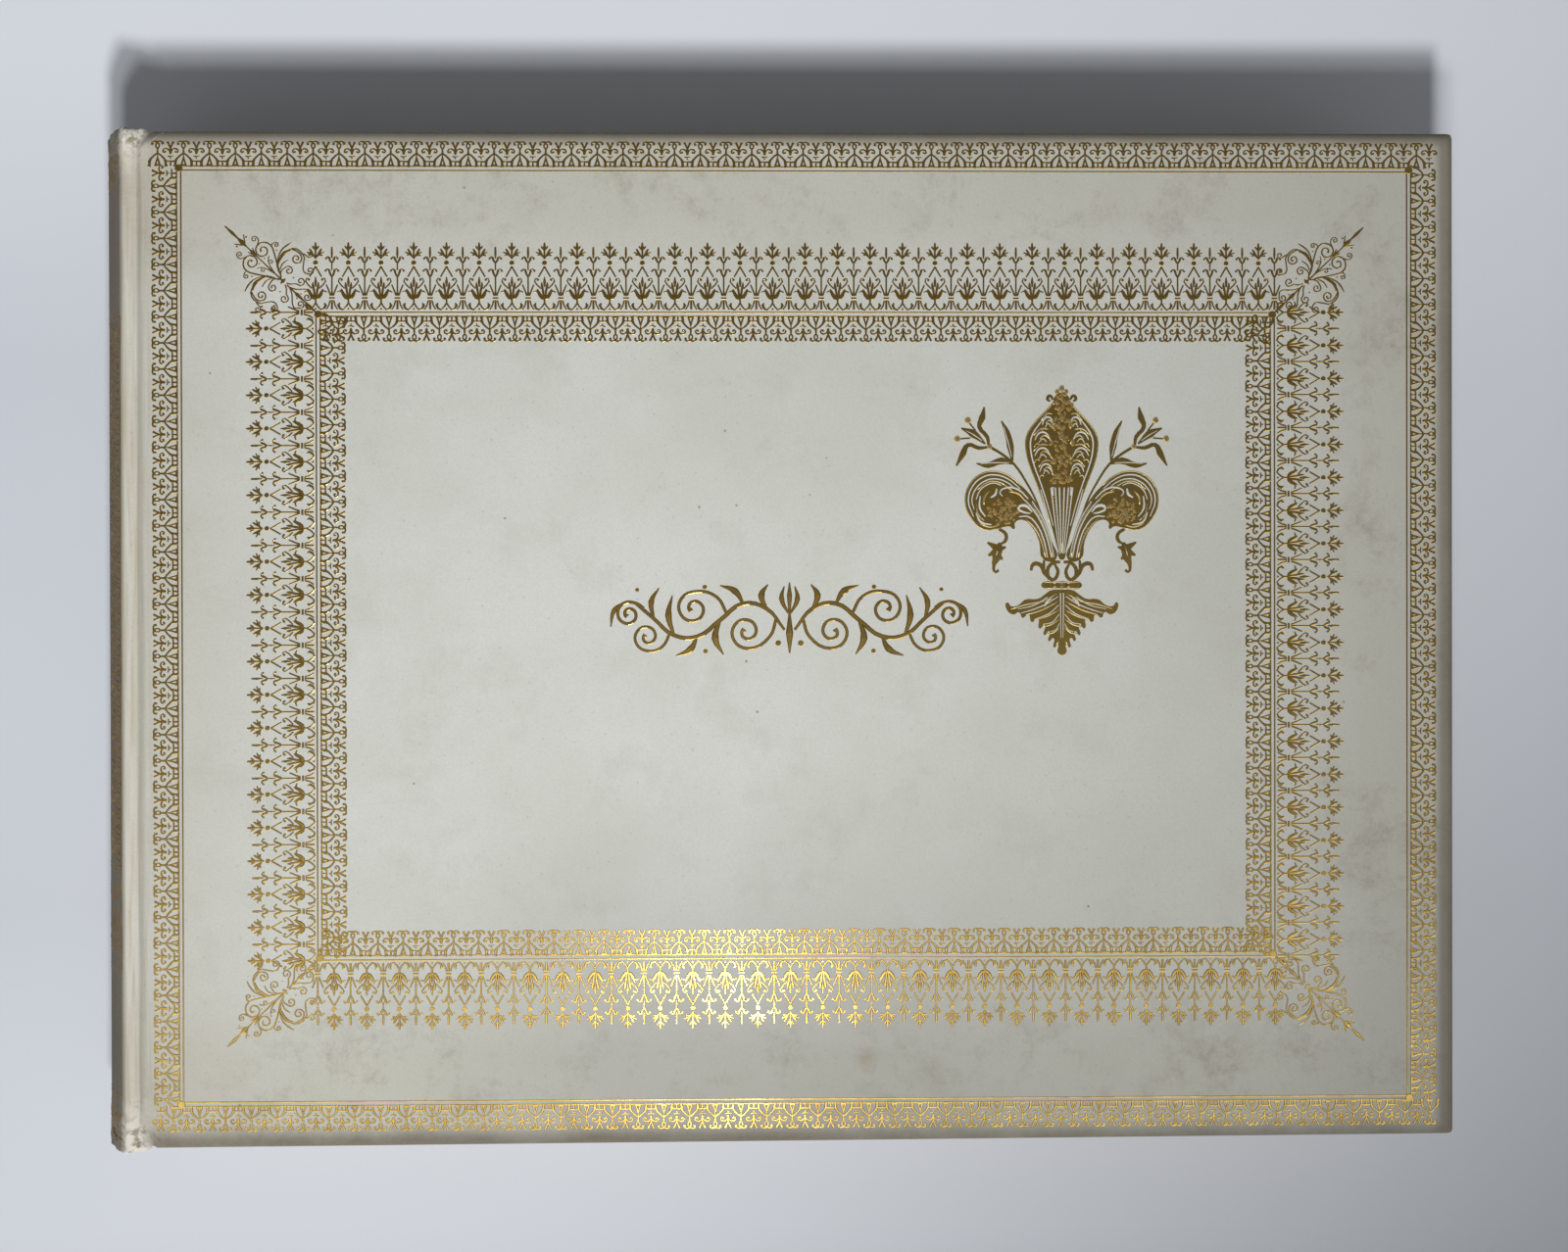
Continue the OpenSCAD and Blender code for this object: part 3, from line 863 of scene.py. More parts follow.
def stroke_section(name, flat, height, sunk=0.1):
    """Section of a stroke a millimetre wide, flat on top by this share, its edges in the skin."""
    shape = bpy.data.curves.new(name, "CURVE")
    spline = shape.splines.new("POLY")
    spline.points.add(3)
    corners = ((-flat / 2, height), (flat / 2, height), (0.5, -sunk), (-0.5, -sunk))
    for knot, (x, y) in zip(spline.points, corners):
        knot.co = (x * MM, y * MM, 0, 1)
    spline.use_cyclic_u = True
    return bpy.data.objects.new(name, shape)


flat_stroke = stroke_section("flat_stroke", 0.46, 0.04, 0.06)


def into_mesh(name, shape):
    """A piece of mesh from drawn curves."""
    piece = bpy.data.objects.new(name, shape)
    bpy.context.collection.objects.link(piece)
    take_up(piece)
    bpy.ops.object.convert(target="MESH")
    return bpy.context.object


def draw_gold(name, strokes, dots=(), fine=2, weight=1.0, section=flat_stroke, dome=0.0):
    """Gold on a flat face: strokes of (x, y, width) as ribbons, (x, y, radius) dots as studs."""
    lines = bpy.data.curves.new(name, "CURVE")
    lines.dimensions = "3D"
    lines.bevel_mode = "OBJECT"
    lines.bevel_object = section
    lines.use_fill_caps = True
    for stroke in strokes:
        spline = lines.splines.new("BEZIER")
        spline.resolution_u = fine if len(stroke) > 2 else 1
        spline.use_smooth = dome > 0
        spline.bezier_points.add(len(stroke) - 1)
        for knot, (x, y, width) in zip(spline.bezier_points, stroke):
            knot.co = (x * MM, y * MM, GOLD_LIFT)
            knot.handle_left_type = knot.handle_right_type = "AUTO"
            knot.radius = width * weight
    piece = into_mesh(name, lines)
    bpy.ops.object.mode_set(mode="EDIT")
    for x, y, radius in dots:
        tall = STUD_TALL + dome * radius
        bpy.ops.mesh.primitive_cone_add(
            vertices=STUD_SIDES,
            radius1=radius * MM,
            radius2=radius * (0.8 - 0.4 * dome) * MM,
            depth=tall * MM,
            location=(x * MM, y * MM, (tall / 2 - STUD_SUNK) * MM),
        )
    bpy.ops.object.mode_set(mode="OBJECT")
    weld(GOLD_WELD)
    return piece


def on_cover(piece, x, y, turn=0.0):
    """Set a flat gold piece on the front cover, turned by degrees about its own origin."""
    place = Matrix.Translation((x * MM, y * MM, cover_top))
    piece.data.transform(place @ Matrix.Rotation(math.radians(turn), 4, "Z"))


def scorched_and_shaded_finish():
    """Browned vellum at a stroke's edge from the hot tool, and painted shade away from the lamps.
    """
    finish, tree, shader, place = new_finish("scorched and shaded vellum", 0.7, Specular_IOR_Level=0.1)
    burn = between(tree, cloud(tree, place, 500, 4), 0.35, 0.65)
    body = mixed(tree, burn, tint(80, 54, 6), tint(104, 76, 18))
    tree.links.new(body, shader.inputs["Base Color"])
    return finish


scorched_and_shaded = scorched_and_shaded_finish()


def gild(piece, *replaced, finish=gold, edge=scorched_and_shaded):
    """Give a gold piece of the front cover its finish, its body and the nodes it stands for.

    Tops and edges leaning to the tail, towards the lamps, stay gold; the rest is edge, painted
    shade.
    """
    piece.data.materials.clear()
    piece.data.materials.append(finish)
    piece.data.materials.append(edge)
    # Painted shade: stroke sides turned from the lamps take the dark edge finish.
    for face in piece.data.polygons:
        to_tail = face.normal.y - GLINT_SLANT * face.normal.x < GLINT
        face.material_index = 0 if face.normal.z > FLAT_TOP or to_tail else 1
    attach(piece, "front_cover")
    if replaced:
        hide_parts(*replaced)


def rectangle(width, height, line):
    """Four straight strokes round a rectangle."""
    x, y = width / 2, height / 2
    corners = [(-x, -y), (x, -y), (x, y), (-x, y), (-x, -y)]
    return [[(*a, line), (*b, line)] for a, b in zip(corners, corners[1:])]


def fillet(name, size, node):
    """A double line with a round stamp at each corner."""
    strokes = []
    for step in (-LINE_GAP, LINE_GAP):
        strokes += rectangle(size[0] + step, size[1] + step, LINE_W)
    x, y = size[0] / 2, size[1] / 2
    stamps = [(side * x, end * y, STAMP_R) for side in (-1, 1) for end in (-1, 1)]
    piece = draw_gold(name, strokes, stamps)
    on_cover(piece, FILLET_X, 0)
    gild(piece, node)


fillet("outer_fillet_gold", OUTER_FILLET, "outer_fillet")
fillet("inner_fillet_gold", INNER_FILLET, "inner_fillet")

# Scroll border. An engraved wheel rolls the same small lily and forked stem along a fillet.
# It runs outside the outer fillet and, facing the other way, inside the inner one.
ROLL_COUNTS_OUTER = (48, 36)
ROLL_COUNTS_INNER = (38, 25)
ROLL_PITCH = 7.75
ROLL_WEIGHT = 1.58
ROLL_GAP = 0.9


def both(*stroke):
    """A stroke and its mirror image across the middle line."""
    return [list(stroke), [(-x, y, width) for x, y, width in stroke]]


def moved(strokes, x, y=0.0):
    return [[(px + x, py + y, width) for px, py, width in stroke] for stroke in strokes]


def joined(pieces):
    """Several pieces made one, under the name of the first."""
    deselect_all()
    for piece in pieces:
        piece.select_set(True)
    bpy.context.view_layer.objects.active = pieces[0]
    bpy.ops.object.join()
    return pieces[0]


def border(name, unit, size, counts, start=0.5, inward=False, past=0):
    """Runs of one roll along four sides of a rectangle.

    Each begins this share of a unit from its corner, and head and tail go on by past units.
    """
    runs = []
    for side in range(4):
        length, reach = size if side % 2 == 0 else (size[1], size[0])
        count = counts[side % 2]
        pitch = length / (count - 1 + 2 * start if start else count - 0.5)
        extra = past if side % 2 == 0 else 0
        run = own_copy(unit, name)
        if inward:
            run.data.transform(Matrix.Rotation(math.pi, 4, "Z"))
        apply_modifier(
            run,
            "ARRAY",
            count=count + 2 * extra,
            use_relative_offset=False,
            use_constant_offset=True,
            constant_offset_displace=(pitch * MM, 0, 0),
        )
        begin = (start - extra) * pitch - length / 2
        first = Matrix.Translation((begin * MM, reach / 2 * MM, 0))
        run.data.transform(Matrix.Rotation(math.radians(90 * side), 4, "Z") @ first)
        runs.append(run)
    return joined(runs)


roll_stem = both(
    (0, 4.1, 0.4), (1.0, 3.4, 0.42), (2.0, 2.4, 0.5), (2.45, 1.6, 0.8), (2.4, 0.8, 0.6),
    (2.6, 0, 1.0)
)
roll_stem += both((0, 2.8, 0.34), (0.4, 1.4, 0.4), (0.75, 0.1, 0.55))
roll_stem += [[(-0.6, 0.4, 0.6), (0.6, 0.4, 0.6)]]
roll_stem += [[(0, 4.3, 0.4), (0, 3.4, 0.22), (0, 2.6, 0.4)], [(0, 4.2, 0.5), (0, 5.4, 0.38)]]
roll_stem += both((0, 5.4, 0.36), (0.5, 6.0, 0.38), (0.5, 6.7, 0.38), (0, 7.3, 0.4))
roll_stem += both(
    (0, 7.4, 0.5), (0.9, 7.6, 0.42), (1.65, 7.3, 0.4), (1.75, 6.75, 0.4), (1.3, 6.65, 0.4)
)
roll_lily = both(
    (0, 4.4, 0.6), (0.5, 5.1, 0.42), (1.2, 5.45, 0.4), (1.95, 5.3, 0.4), (2.3, 4.75, 0.4),
    (2.0, 4.2, 0.4)
)
roll_lily += both((2.0, 4.2, 0.4), (1.5, 4.25, 0.42), (1.5, 4.7, 0.4))
roll_lily += both((0, 5.6, 0.5), (0.45, 6.6, 0.45), (0.9, 7.5, 0.6))
roll_lily += [[(0, 3.9, 0.7), (0, 4.8, 0.6), (0, 6.0, 0.5)]]
roll_lily += [
    [(-0.9, 3.2, 0.26), (0, 3.0, 0.34), (0.9, 3.2, 0.26)],
    [(-1.3, 1.6, 0.4), (0, 1.65, 0.34), (1.3, 1.6, 0.4)]
]
roll_lily += [[(0, 1.5, 0.34), (0, 0.2, 0.44)]]
roll_strokes = roll_stem + moved(roll_lily, ROLL_PITCH / 2)
roll_dots = [(ROLL_PITCH / 2, 4.0, 0.42), (ROLL_PITCH / 2, 2.55, 0.28), (0, 5.0, 0.34)]
roll_dots += [(ROLL_PITCH / 2 + side * 1.55, 4.5, 0.34) for side in (-1, 1)]
roll_dots += [(side * 1.4, 6.9, 0.3) for side in (-1, 1)]
roll_unit = draw_gold("roll_unit", roll_strokes, roll_dots, 1, ROLL_WEIGHT)
roll_unit.data.transform(Matrix.Translation((-ROLL_PITCH / 4 * MM, 0, 0)))
for name, size, counts, inward in (
    ("outer_scroll_border", OUTER_FILLET, ROLL_COUNTS_OUTER, False),
    ("inner_scroll_border", INNER_FILLET, ROLL_COUNTS_INNER, True),
):
    gap = -ROLL_GAP if inward else ROLL_GAP
    rolled = (size[0] + gap, size[1] + gap)
    piece = border(name, roll_unit, rolled, counts, 0.5, inward, 0 if inward else 1)
    on_cover(piece, FILLET_X, 0)
    gild(piece)
bpy.data.objects.remove(roll_unit)

# Palmette border. A deeper roll of open flowers and budding stems stands on the inner fillet.
# Each flower carries an arch, a ball and a small fan of leaves.
PALMETTE_PITCH = 9.78
PALMETTE_COUNTS = (30, 20)
PALMETTE_WEIGHT = 1.6
PALMETTE_GAP = 1.4


def bud(height, reach, tall):
    """Strokes of a bud on a stem: a cup of two thick petals and two short arms."""
    top = height + tall
    strokes = both((0.1, height, 0.4), (0.5, height + tall * 0.4, 0.5), (0.85, top, 0.6))
    arm = ((0.7, top, 0.4), (reach * 0.75, top + 0.25, 0.34), (reach, top - 0.2, 0.4))
    return strokes + both(*arm)


flower = both(
    (0, 4.2, 0.45), (0, 2.8, 0.4), (0.65, 1.7, 0.38), (1.6, 0.7, 0.4), (2.55, 1.1, 0.55),
    (3.0, 2.1, 0.75), (2.6, 2.8, 0.25)
)
flower += both(
    (0.1, 4.1, 0.7), (0.8, 4.4, 0.95), (1.4, 5.2, 0.95), (1.9, 6.2, 0.7), (2.2, 7.0, 0.2)
)
flower += both((1.6, 5.7, 0.5), (2.5, 6.4, 0.4), (3.4, 6.0, 0.26))
flower += both((0.25, 4.4, 0.5), (0.45, 6.4, 0.55), (0.8, 8.0, 0.65), (0.85, 9.0, 0.2))
flower += [[(0, 7.6, 0.3), (0, 9.1, 0.72), (0, 10.7, 0.15)]]
flower += both(
    (1.1, 7.1, 0.3), (2.3, 8.3, 0.34), (3.0, 9.3, 0.34), (2.7, 10.1, 0.34), (2.1, 10.1, 0.34)
)
flower += both((1.8, 10.6, 0.34), (1.0, 12.0, 0.36), (0.4, 13.0, 0.36), (0, 13.8, 0.4))
flower += [[(0, 16.0, 0.4), (0, 18.2, 0.42), (0, 19.6, 0.72), (0, 21.0, 0.3)]]
flower += both((0, 18.8, 0.4), (0.55, 19.3, 0.48), (1.05, 19.9, 0.26))
flower += both((1.1, 17.2, 0.3), (2.1, 17.1, 0.36))
flower += both((0.1, 16.3, 0.3), (0.9, 17.6, 0.46), (1.4, 18.4, 0.58), (1.8, 19.1, 0.26))
flower += both((0.5, 16.8, 0.3), (1.5, 17.6, 0.44), (2.6, 18.1, 0.22))
budded = both((0.6, 3.4, 0.36), (0.95, 2.0, 0.34), (1.7, 0.8, 0.3))
budded += [[(0, 0.8, 0.5), (0, 3.4, 0.5)]]
budded += [
    [(-0.85, 4.2, 0.5), (0.85, 4.2, 0.5)], [(-0.65, 3.4, 0.3), (0.65, 3.4, 0.3)],
    [(0, 4.9, 0.7), (0, 6.4, 0.36), (0, 10.7, 0.36)]
]
budded += both((0.4, 5.0, 0.42), (0.9, 6.4, 0.38), (1.7, 8.3, 0.32))
budded += bud(10.7, 1.9, 2.0)
budded += bud(14.9, 1.7, 1.5)
budded += [[(0, 12.6, 0.3), (0, 14.9, 0.34)], [(0, 16.2, 0.3), (0, 17.6, 0.55), (0, 19.6, 0.4)]]
palmette_dots = [(0, 0.95, 0.36), (0, 14.85, 0.85), (2.0, 9.75, 0.46), (-2.0, 9.75, 0.46)]
bud_dots = [(0, 13.7, 0.3), (1.95, 12.4, 0.38), (-1.95, 12.4, 0.38)]
bud_dots += [(1.75, 16.1, 0.38), (-1.75, 16.1, 0.38), (0, 19.4, 0.3)]
palmette_dots += [(PALMETTE_PITCH / 2 + x, y, radius) for x, y, radius in bud_dots]
palmette_strokes = flower + moved(budded, PALMETTE_PITCH / 2)
palmette = draw_gold("palmette_unit", palmette_strokes, palmette_dots, 1, PALMETTE_WEIGHT)
rolled = (INNER_FILLET[0] + PALMETTE_GAP, INNER_FILLET[1] + PALMETTE_GAP)
palmettes = border("palmette_border", palmette, rolled, PALMETTE_COUNTS, 0.0)
on_cover(palmettes, FILLET_X, 0)
gild(palmettes)
bpy.data.objects.remove(palmette)

# Corner sprays. Each corner of the palmette border carries a spray of scrolls along its diagonal.
# It was struck from one block, the same at all four corners.
SPRAY_ANGLE = 46.35
SPRAY_WEIGHT = 1.22


def scroll(stem, eye, turns, width):
    """A stem of (x, y) points that curls into a volute round its eye and ends in a small ball."""
    x, y = stem[-1][0] - eye[0], stem[-1][1] - eye[1]
    radius, first = math.hypot(x, y), math.atan2(y, x)
    knots = [(px, py, width) for px, py in stem]
    steps = max(5, round(abs(turns) * 6))
    for step in range(1, steps + 1):
        reach = radius * (1 - 0.8 * step / steps)
        swing = first + turns * 2 * math.pi * step / steps
        knots.append((eye[0] + reach * math.cos(swing), eye[1] + reach * math.sin(swing), width))
    knots[-1] = (*knots[-1][:2], width * 1.7)
    return knots


top_stem = [(0.5, 15.7), (3.0, 20.1), (4.6, 22.7), (5.3, 24.6), (4.6, 26.6)]
spray = both(*scroll(top_stem, (2.5, 25.2), 1.4, 0.45))
spray += both(*scroll([(2.6, 27.6), (3.8, 28.2), (4.15, 29.3)], (3.2, 29.4), 1.2, 0.32))
spray += both(*scroll([(5.2, 24.3), (5.9, 24.5), (6.6, 24.3)], (6.5, 23.5), -1.2, 0.32))
spray += both(*scroll([(0, 17.5), (0.4, 19.5), (0.9, 21.0)], (1.7, 21.0), -1.1, 0.3))
spray += both((1.2, 21.7, 0.3), (2.0, 22.4, 0.3), (2.7, 22.8, 0.2))
spray += both((3.2, 19.9, 0.25), (6.1, 21.2, 0.45), (8.5, 21.1, 0.5), (10.2, 20.6, 0.2))
spray += both(
    (0.7, 15.9, 0.3), (2.3, 19.0, 0.7), (4.4, 19.8, 0.9), (6.5, 20.1, 1.1), (8.3, 19.2, 0.5)
)
spray += both(*scroll([(0.1, 15.4), (1.6, 16.9), (3.2, 16.8)], (3.5, 15.4), -1.3, 0.4))
spray += both((1.9, 17.5, 0.3), (3.6, 18.2, 0.4), (5.6, 17.8, 0.25))
spray += both((6.5, 20.1, 0.4), (9.2, 19.1, 0.42), (10.1, 17.0, 0.42), (9.6, 14.7, 0.4))
spray += both(*scroll([(8.8, 19.3), (9.4, 17.6), (9.4, 16.0)], (7.7, 16.2), -1.4, 0.42))
spray += both(*scroll([(9.9, 16.2), (10.3, 15.4), (10.4, 14.4)], (11.4, 14.2), 1.2, 0.36))
spray += both(
    *scroll([(9.6, 14.7), (7.6, 13.3), (6.4, 12.0), (6.7, 10.6)], (7.9, 10.8), 1.3, 0.38)
)
spray += both(*scroll([(0.3, 13.3), (1.0, 12.1), (2.2, 11.0)], (3.6, 10.6), 1.3, 0.38))
spray += both(
    *scroll([(0, 11.8), (1.0, 9.8), (2.5, 8.3), (3.5, 6.6), (2.75, 5.6)], (1.5, 5.9), -1.3, 0.4)
)
spray += [
    [(0, 14.5, 0.5), (0, 20, 0.4), (0, 25.1, 0.35)],
    [(0, 25.1, 0.35), (0, 27.0, 1.2), (0, 28.3, 0.3), (0, 29.6, 0.4)]
]
spray += both((0.2, 26.0, 0.35), (0.9, 28.0, 0.25)) + both((0.4, 30.6, 0.45), (2.0, 32.7, 0.25))
spray += [[(0, 29.6, 0.45), (0, 31.6, 1.6), (0, 33.2, 0.5), (0, 35.6, 1.05), (0, 38.5, 0.3)]]
spray += [
    [(0, 12.9, 0.4), (0, 9.6, 0.5), (0, 8.6, 1.3), (0, 5.6, 0.4), (0, 3.6, 1.1), (0, 1.0, 0.5)]
]
spray += [[(-1, 14.5, 0.5), (1, 14.5, 0.5)]]
spray_dots = [(0, 14.5, 0.75)]
for x, y, radius in (
    (2.0, 31.6, 0.34),
    (0.9, 7.9, 0.28),
    (2.9, 12.9, 0.28),
    (1.1, 23.2, 0.26),
    (5.4, 22.2, 0.26),
):
    spray_dots += [(x, y, radius), (-x, y, radius)]
spray_block = draw_gold("spray_block", spray, spray_dots, 2, SPRAY_WEIGHT)
for name, side, end in (
    ("head_joint", -1, 1),
    ("head_fore", 1, 1),
    ("tail_joint", -1, -1),
    ("tail_fore", 1, -1),
):
    piece = own_copy(spray_block, f"corner_spray_{name}")
    turn = -side * (SPRAY_ANGLE if end > 0 else 180 - SPRAY_ANGLE)
    on_cover(piece, FILLET_X + side * INNER_FILLET[0] / 2, end * INNER_FILLET[1] / 2, turn)
    gild(piece)
bpy.data.objects.remove(spray_block)

# Lily stamp. A large heraldic lily cut with acanthus, two stemmed flowers and a knotted band.
# The block was struck hot through gold leaf, so its ridges stand up and its hollows are darker.
LILY_AT = (87.6, 35.1)
PLATE_RISE = 0.04 * MM
LILY_LEAF_WEIGHT = 1.25
RELIEF_WEIGHT, RELIEF_DOME = 1.35, 0.4
GRAIN_R = (0.35, 0.7)
PETAL_GRAINS, CUP_GRAINS = 190, 70
ridge_stroke = stroke_section("ridge_stroke", 0.3, 0.16)


def gold_plate(name, outline):
    """A thin plate of gold inside a closed outline of (x, y)."""
    shape = bpy.data.curves.new(name, "CURVE")
    shape.dimensions = "2D"
    shape.fill_mode = "BOTH"
    shape.extrude = PLATE_RISE
    spline = shape.splines.new("BEZIER")
    spline.resolution_u = 4
    spline.use_cyclic_u = True
    spline.bezier_points.add(len(outline) - 1)
    for knot, (x, y) in zip(spline.bezier_points, outline):
        knot.co = (x * MM, y * MM, 0)
        knot.handle_left_type = knot.handle_right_type = "AUTO"
    plate = into_mesh(name, shape)
    weld(GOLD_WELD, outwards=True)
    return plate


def mirrored(half):
    """A closed outline from its right half, given from top to bottom."""
    return half + [(-x, y) for x, y in reversed(half) if x]


petal_half = [
    (0, 38.4), (2.2, 37.0), (2.6, 35.2), (5.0, 32.6), (8.4, 29.0), (10.7, 25.0), (10.8, 20.6),
    (9.7, 16.2)
]
petal_half += [(7.7, 11.0), (5.7, 5.4), (3.3, -2.4), (1.5, -9.2), (0, -12.4)]
side_petal = [
    (5.6, -12.2), (6.9, -6.8), (9.1, -2.4), (12.0, -0.2), (14.2, -1.0), (14.5, -3.0), (15.8, -2.2),
    (18.6, -2.6)
]
side_petal += [
    (23.5, -3.1), (27.4, 0.2), (29.3, 5.7), (27.8, 10.8), (24.2, 13.9), (20.2, 14.5), (16.2, 13.3),
    (12.3, 10.2)
]
side_petal += [(8.9, 6.4), (5.6, 0.6), (3.2, -6.4), (1.8, -12.2)]
root_half = [
    (0, -21.4), (3.4, -21.6), (5.2, -22.8), (7.2, -24.1), (11.2, -24.4), (13.2, -26.0),
    (15.4, -26.4), (16.7, -25.2)
]
root_half += [
    (16.9, -27.2), (14.8, -28.9), (13.0, -28.2), (12.0, -29.9), (10.2, -28.9), (9.2, -31.2),
    (7.4, -30.0), (6.8, -33.2)
]
root_half += [
    (5.3, -31.9), (5.4, -35.2), (3.9, -33.9), (4.0, -37.0), (2.6, -36.0), (2.4, -39.0),
    (1.3, -38.0), (1.4, -40.2), (0, -41.2)
]
plates = [gold_plate("lily_petal", mirrored(petal_half))]
plates.append(gold_plate("lily_root", mirrored(root_half)))
for side in (-1, 1):
    plates.append(gold_plate("lily_side", [(side * x, y) for x, y in side_petal]))

leaves = both((2.6, 36.2, 0.6), (3.6, 37.4, 0.9), (4.3, 36.4, 0.9), (3.5, 35.7, 0.5))
leaves += both((19.0, -3.0, 0.9), (17.0, -4.6, 1.0), (17.2, -6.6, 1.0), (18.4, -7.4, 0.6))
leaves += both(
    (18.6, -7.2, 1.0), (19.6, -9.6, 2.9), (19.9, -11.8, 2.3), (20.7, -14.2, 0.9),
    (20.2, -16.0, 0.7), (19.2, -15.4, 0.8)
)
for x, y, tip_x, tip_y in (
    (20.0, -8.6, 22.6, -7.0),
    (20.4, -10, 22.4, -11.0),
    (19.2, -9.2, 17.0, -8.4),
    (19.4, -11.0, 18.0, -12.2),
):
    leaves += both((x, y, 2.0), (tip_x, tip_y, 0.5))
leaves += both(
    (4.6, -4.6, 0.4), (7.4, 4.6, 0.55), (11.0, 11.6, 0.6), (14.6, 16.8, 0.7), (18.0, 19.6, 0.75),
    (21.6, 21.8, 0.8)
)
leaves += both(
    (22.2, 22.4, 0.7), (22.6, 24.9, 1.1), (25.0, 28.0, 1.2), (24.1, 30.8, 1.8), (23.5, 34.0, 0.4)
)
leaves += both(
    (22.6, 21.8, 0.7), (25.3, 21.6, 1.1), (28.4, 22.5, 1.2), (29.9, 20.0, 1.8), (32.0, 16.2, 0.4)
)
leaves += both((23.2, 22.8, 0.5), (26.9, 25.9, 2.4), (30.5, 27.6, 0.4))
leaves += both((26.2, 26.9, 0.45), (28.5, 29.8, 0.45))
leaves += both((27.8, 24.6, 0.45), (31.6, 24.3, 0.45))
leaves += both((15.0, 17.6, 0.6), (15.6, 22.1, 2.0), (16.6, 26.4, 1.5), (18.3, 29.8, 0.35))
leaves += both((14.8, 16.8, 0.6), (18.2, 17.7, 2.0), (22.5, 16.3, 1.6), (25.9, 16.9, 0.35))
leaves += both(
    (0.5, -13.0, 0.8), (2.6, -13.2, 1.0), (4.4, -15.6, 1.1), (3.0, -18.4, 1.0), (1.2, -16.2, 1.0),
    (2.2, -13.6, 0.7)
)
leaves += both(
    (2.8, -18.6, 0.9), (5.2, -16.4, 1.2), (6.4, -14.0, 1.2), (8.6, -13.6, 1.2), (9.4, -15.6, 0.7)
)
leaves += both((5.6, -14.8, 1.0), (5.4, -12.4, 0.6))
leaves += [[(-5.6, -20.0, 0.9), (0, -20.0, 0.6), (5.6, -20.0, 0.9)]]
for middle in (-4.2, 0, 4.2):
    loop = [math.pi * step / 3 for step in range(7)]
    leaves.append(
        [(middle + 1.7 * math.cos(turn), -20.0 + 0.8 * math.sin(turn), 0.7) for turn in loop]
    )
leaf_stroke = stroke_section("leaf_stroke", 0.8, 0.04)
plates.append(draw_gold("lily_leaves", leaves, (), 3, LILY_LEAF_WEIGHT, leaf_stroke))

LILY_TIERS = ((31.0, 0.72), (26.4, 1.0), (21.6, 1.0), (16.8, 0.82))
bare = both(
    (4.6, 31.4, 0.3), (7.2, 28.4, 0.5), (9.3, 24.6, 0.55), (9.4, 20.8, 0.55), (8.4, 16.4, 0.5),
    (6.5, 11.2, 0.45), (4.5, 5.0, 0.4), (2.6, -2.0, 0.3)
)
bare += both((6.4, 9.0, 0.3), (4.9, 3.4, 0.4), (2.8, -4.0, 0.35), (1.2, -10.0, 0.25))


def tier(level, reach, *knots):
    """A pair of strokes in one tier of leaves: x as a share of its reach, y from its level."""
    return both(*[(x * reach, level + y, width) for x, y, width in knots])


for level, reach in LILY_TIERS:
    bare += tier(
        level, reach, (3.4, -2.6, 0.3), (4.9, -0.2, 0.55), (6.9, -0.3, 0.6), (8.2, -2.4, 0.3)
    )
    bare += tier(level, reach, (4.6, -3.0, 0.25), (5.8, -2.0, 0.4), (6.9, -3.2, 0.25))
for foot, head in ((0.2, 0.75), (0.45, 2.0), (0.75, 3.3)):
    bare += both((head, 9.6, 0.5), (head * 0.72, 2.0, 0.4), (foot, -10.4, 0.2))
bare += both((2.7, 9.8, 0.5), (2.9, 8.6, 0.9), (2.6, 7.2, 0.4))
bare += both(
    (12.6, 9.2, 0.3), (16.4, 12.3, 0.45), (20.3, 13.5, 0.5), (23.8, 12.9, 0.5), (27.0, 10.2, 0.5),
    (28.4, 5.7, 0.5), (26.8, 0.8, 0.3)
)
bare += both(
    (14.0, 9.2, 0.3), (17.0, 11.4, 0.4), (20.4, 12.3, 0.45), (23.2, 11.7, 0.45), (26.0, 9.4, 0.45),
    (27.3, 5.8, 0.4), (26.6, 3.0, 0.25)
)
bare += both(
    (18.4, 10.2, 0.3), (20.4, 11.0, 0.4), (22.6, 10.5, 0.4), (24.9, 8.7, 0.4), (26.0, 6.0, 0.3)
)
bare += both(
    (10.2, 6.2, 0.4), (13.2, 9.0, 0.6), (16.6, 9.6, 0.6), (18.8, 8.2, 0.4), (18.0, 7.0, 0.3)
)
bare += both((19.8, 9.3, 0.5), (20.2, 7.6, 0.9), (21.6, 6.6, 0.5))
bare += both((24.8, 7.0, 0.4), (24.9, 3.4, 0.7), (23.2, 0.8, 0.4))
bare += both((26.0, 2.0, 0.4), (24.6, -0.8, 0.8), (21.4, -1.6, 0.4))
bare += both(
    (9.0, 2.2, 0.4), (11.2, 4.2, 1.1), (13.2, 3.4, 0.9), (11.6, 2.2, 0.7), (9.6, 1.8, 0.4)
)
bare += both(
    (4.4, -11.6, 0.35), (5.4, -6.6, 0.5), (7.5, -1.8, 0.5), (10.2, 0.8, 0.5), (13.0, 0.8, 0.4)
)
bare += both(
    (3.2, -11.6, 0.35), (4.3, -6.4, 0.45), (6.5, -0.6, 0.5), (9.4, 3.8, 0.5), (11.2, 5.8, 0.4)
)
bare += both((2.4, -11.4, 0.25), (3.6, -6.0, 0.35), (5.9, 0.4, 0.4), (9.0, 5.4, 0.4))
bare += both((0.45, -22.4, 0.4), (0.4, -30.0, 0.3), (0.3, -36.0, 0.2))
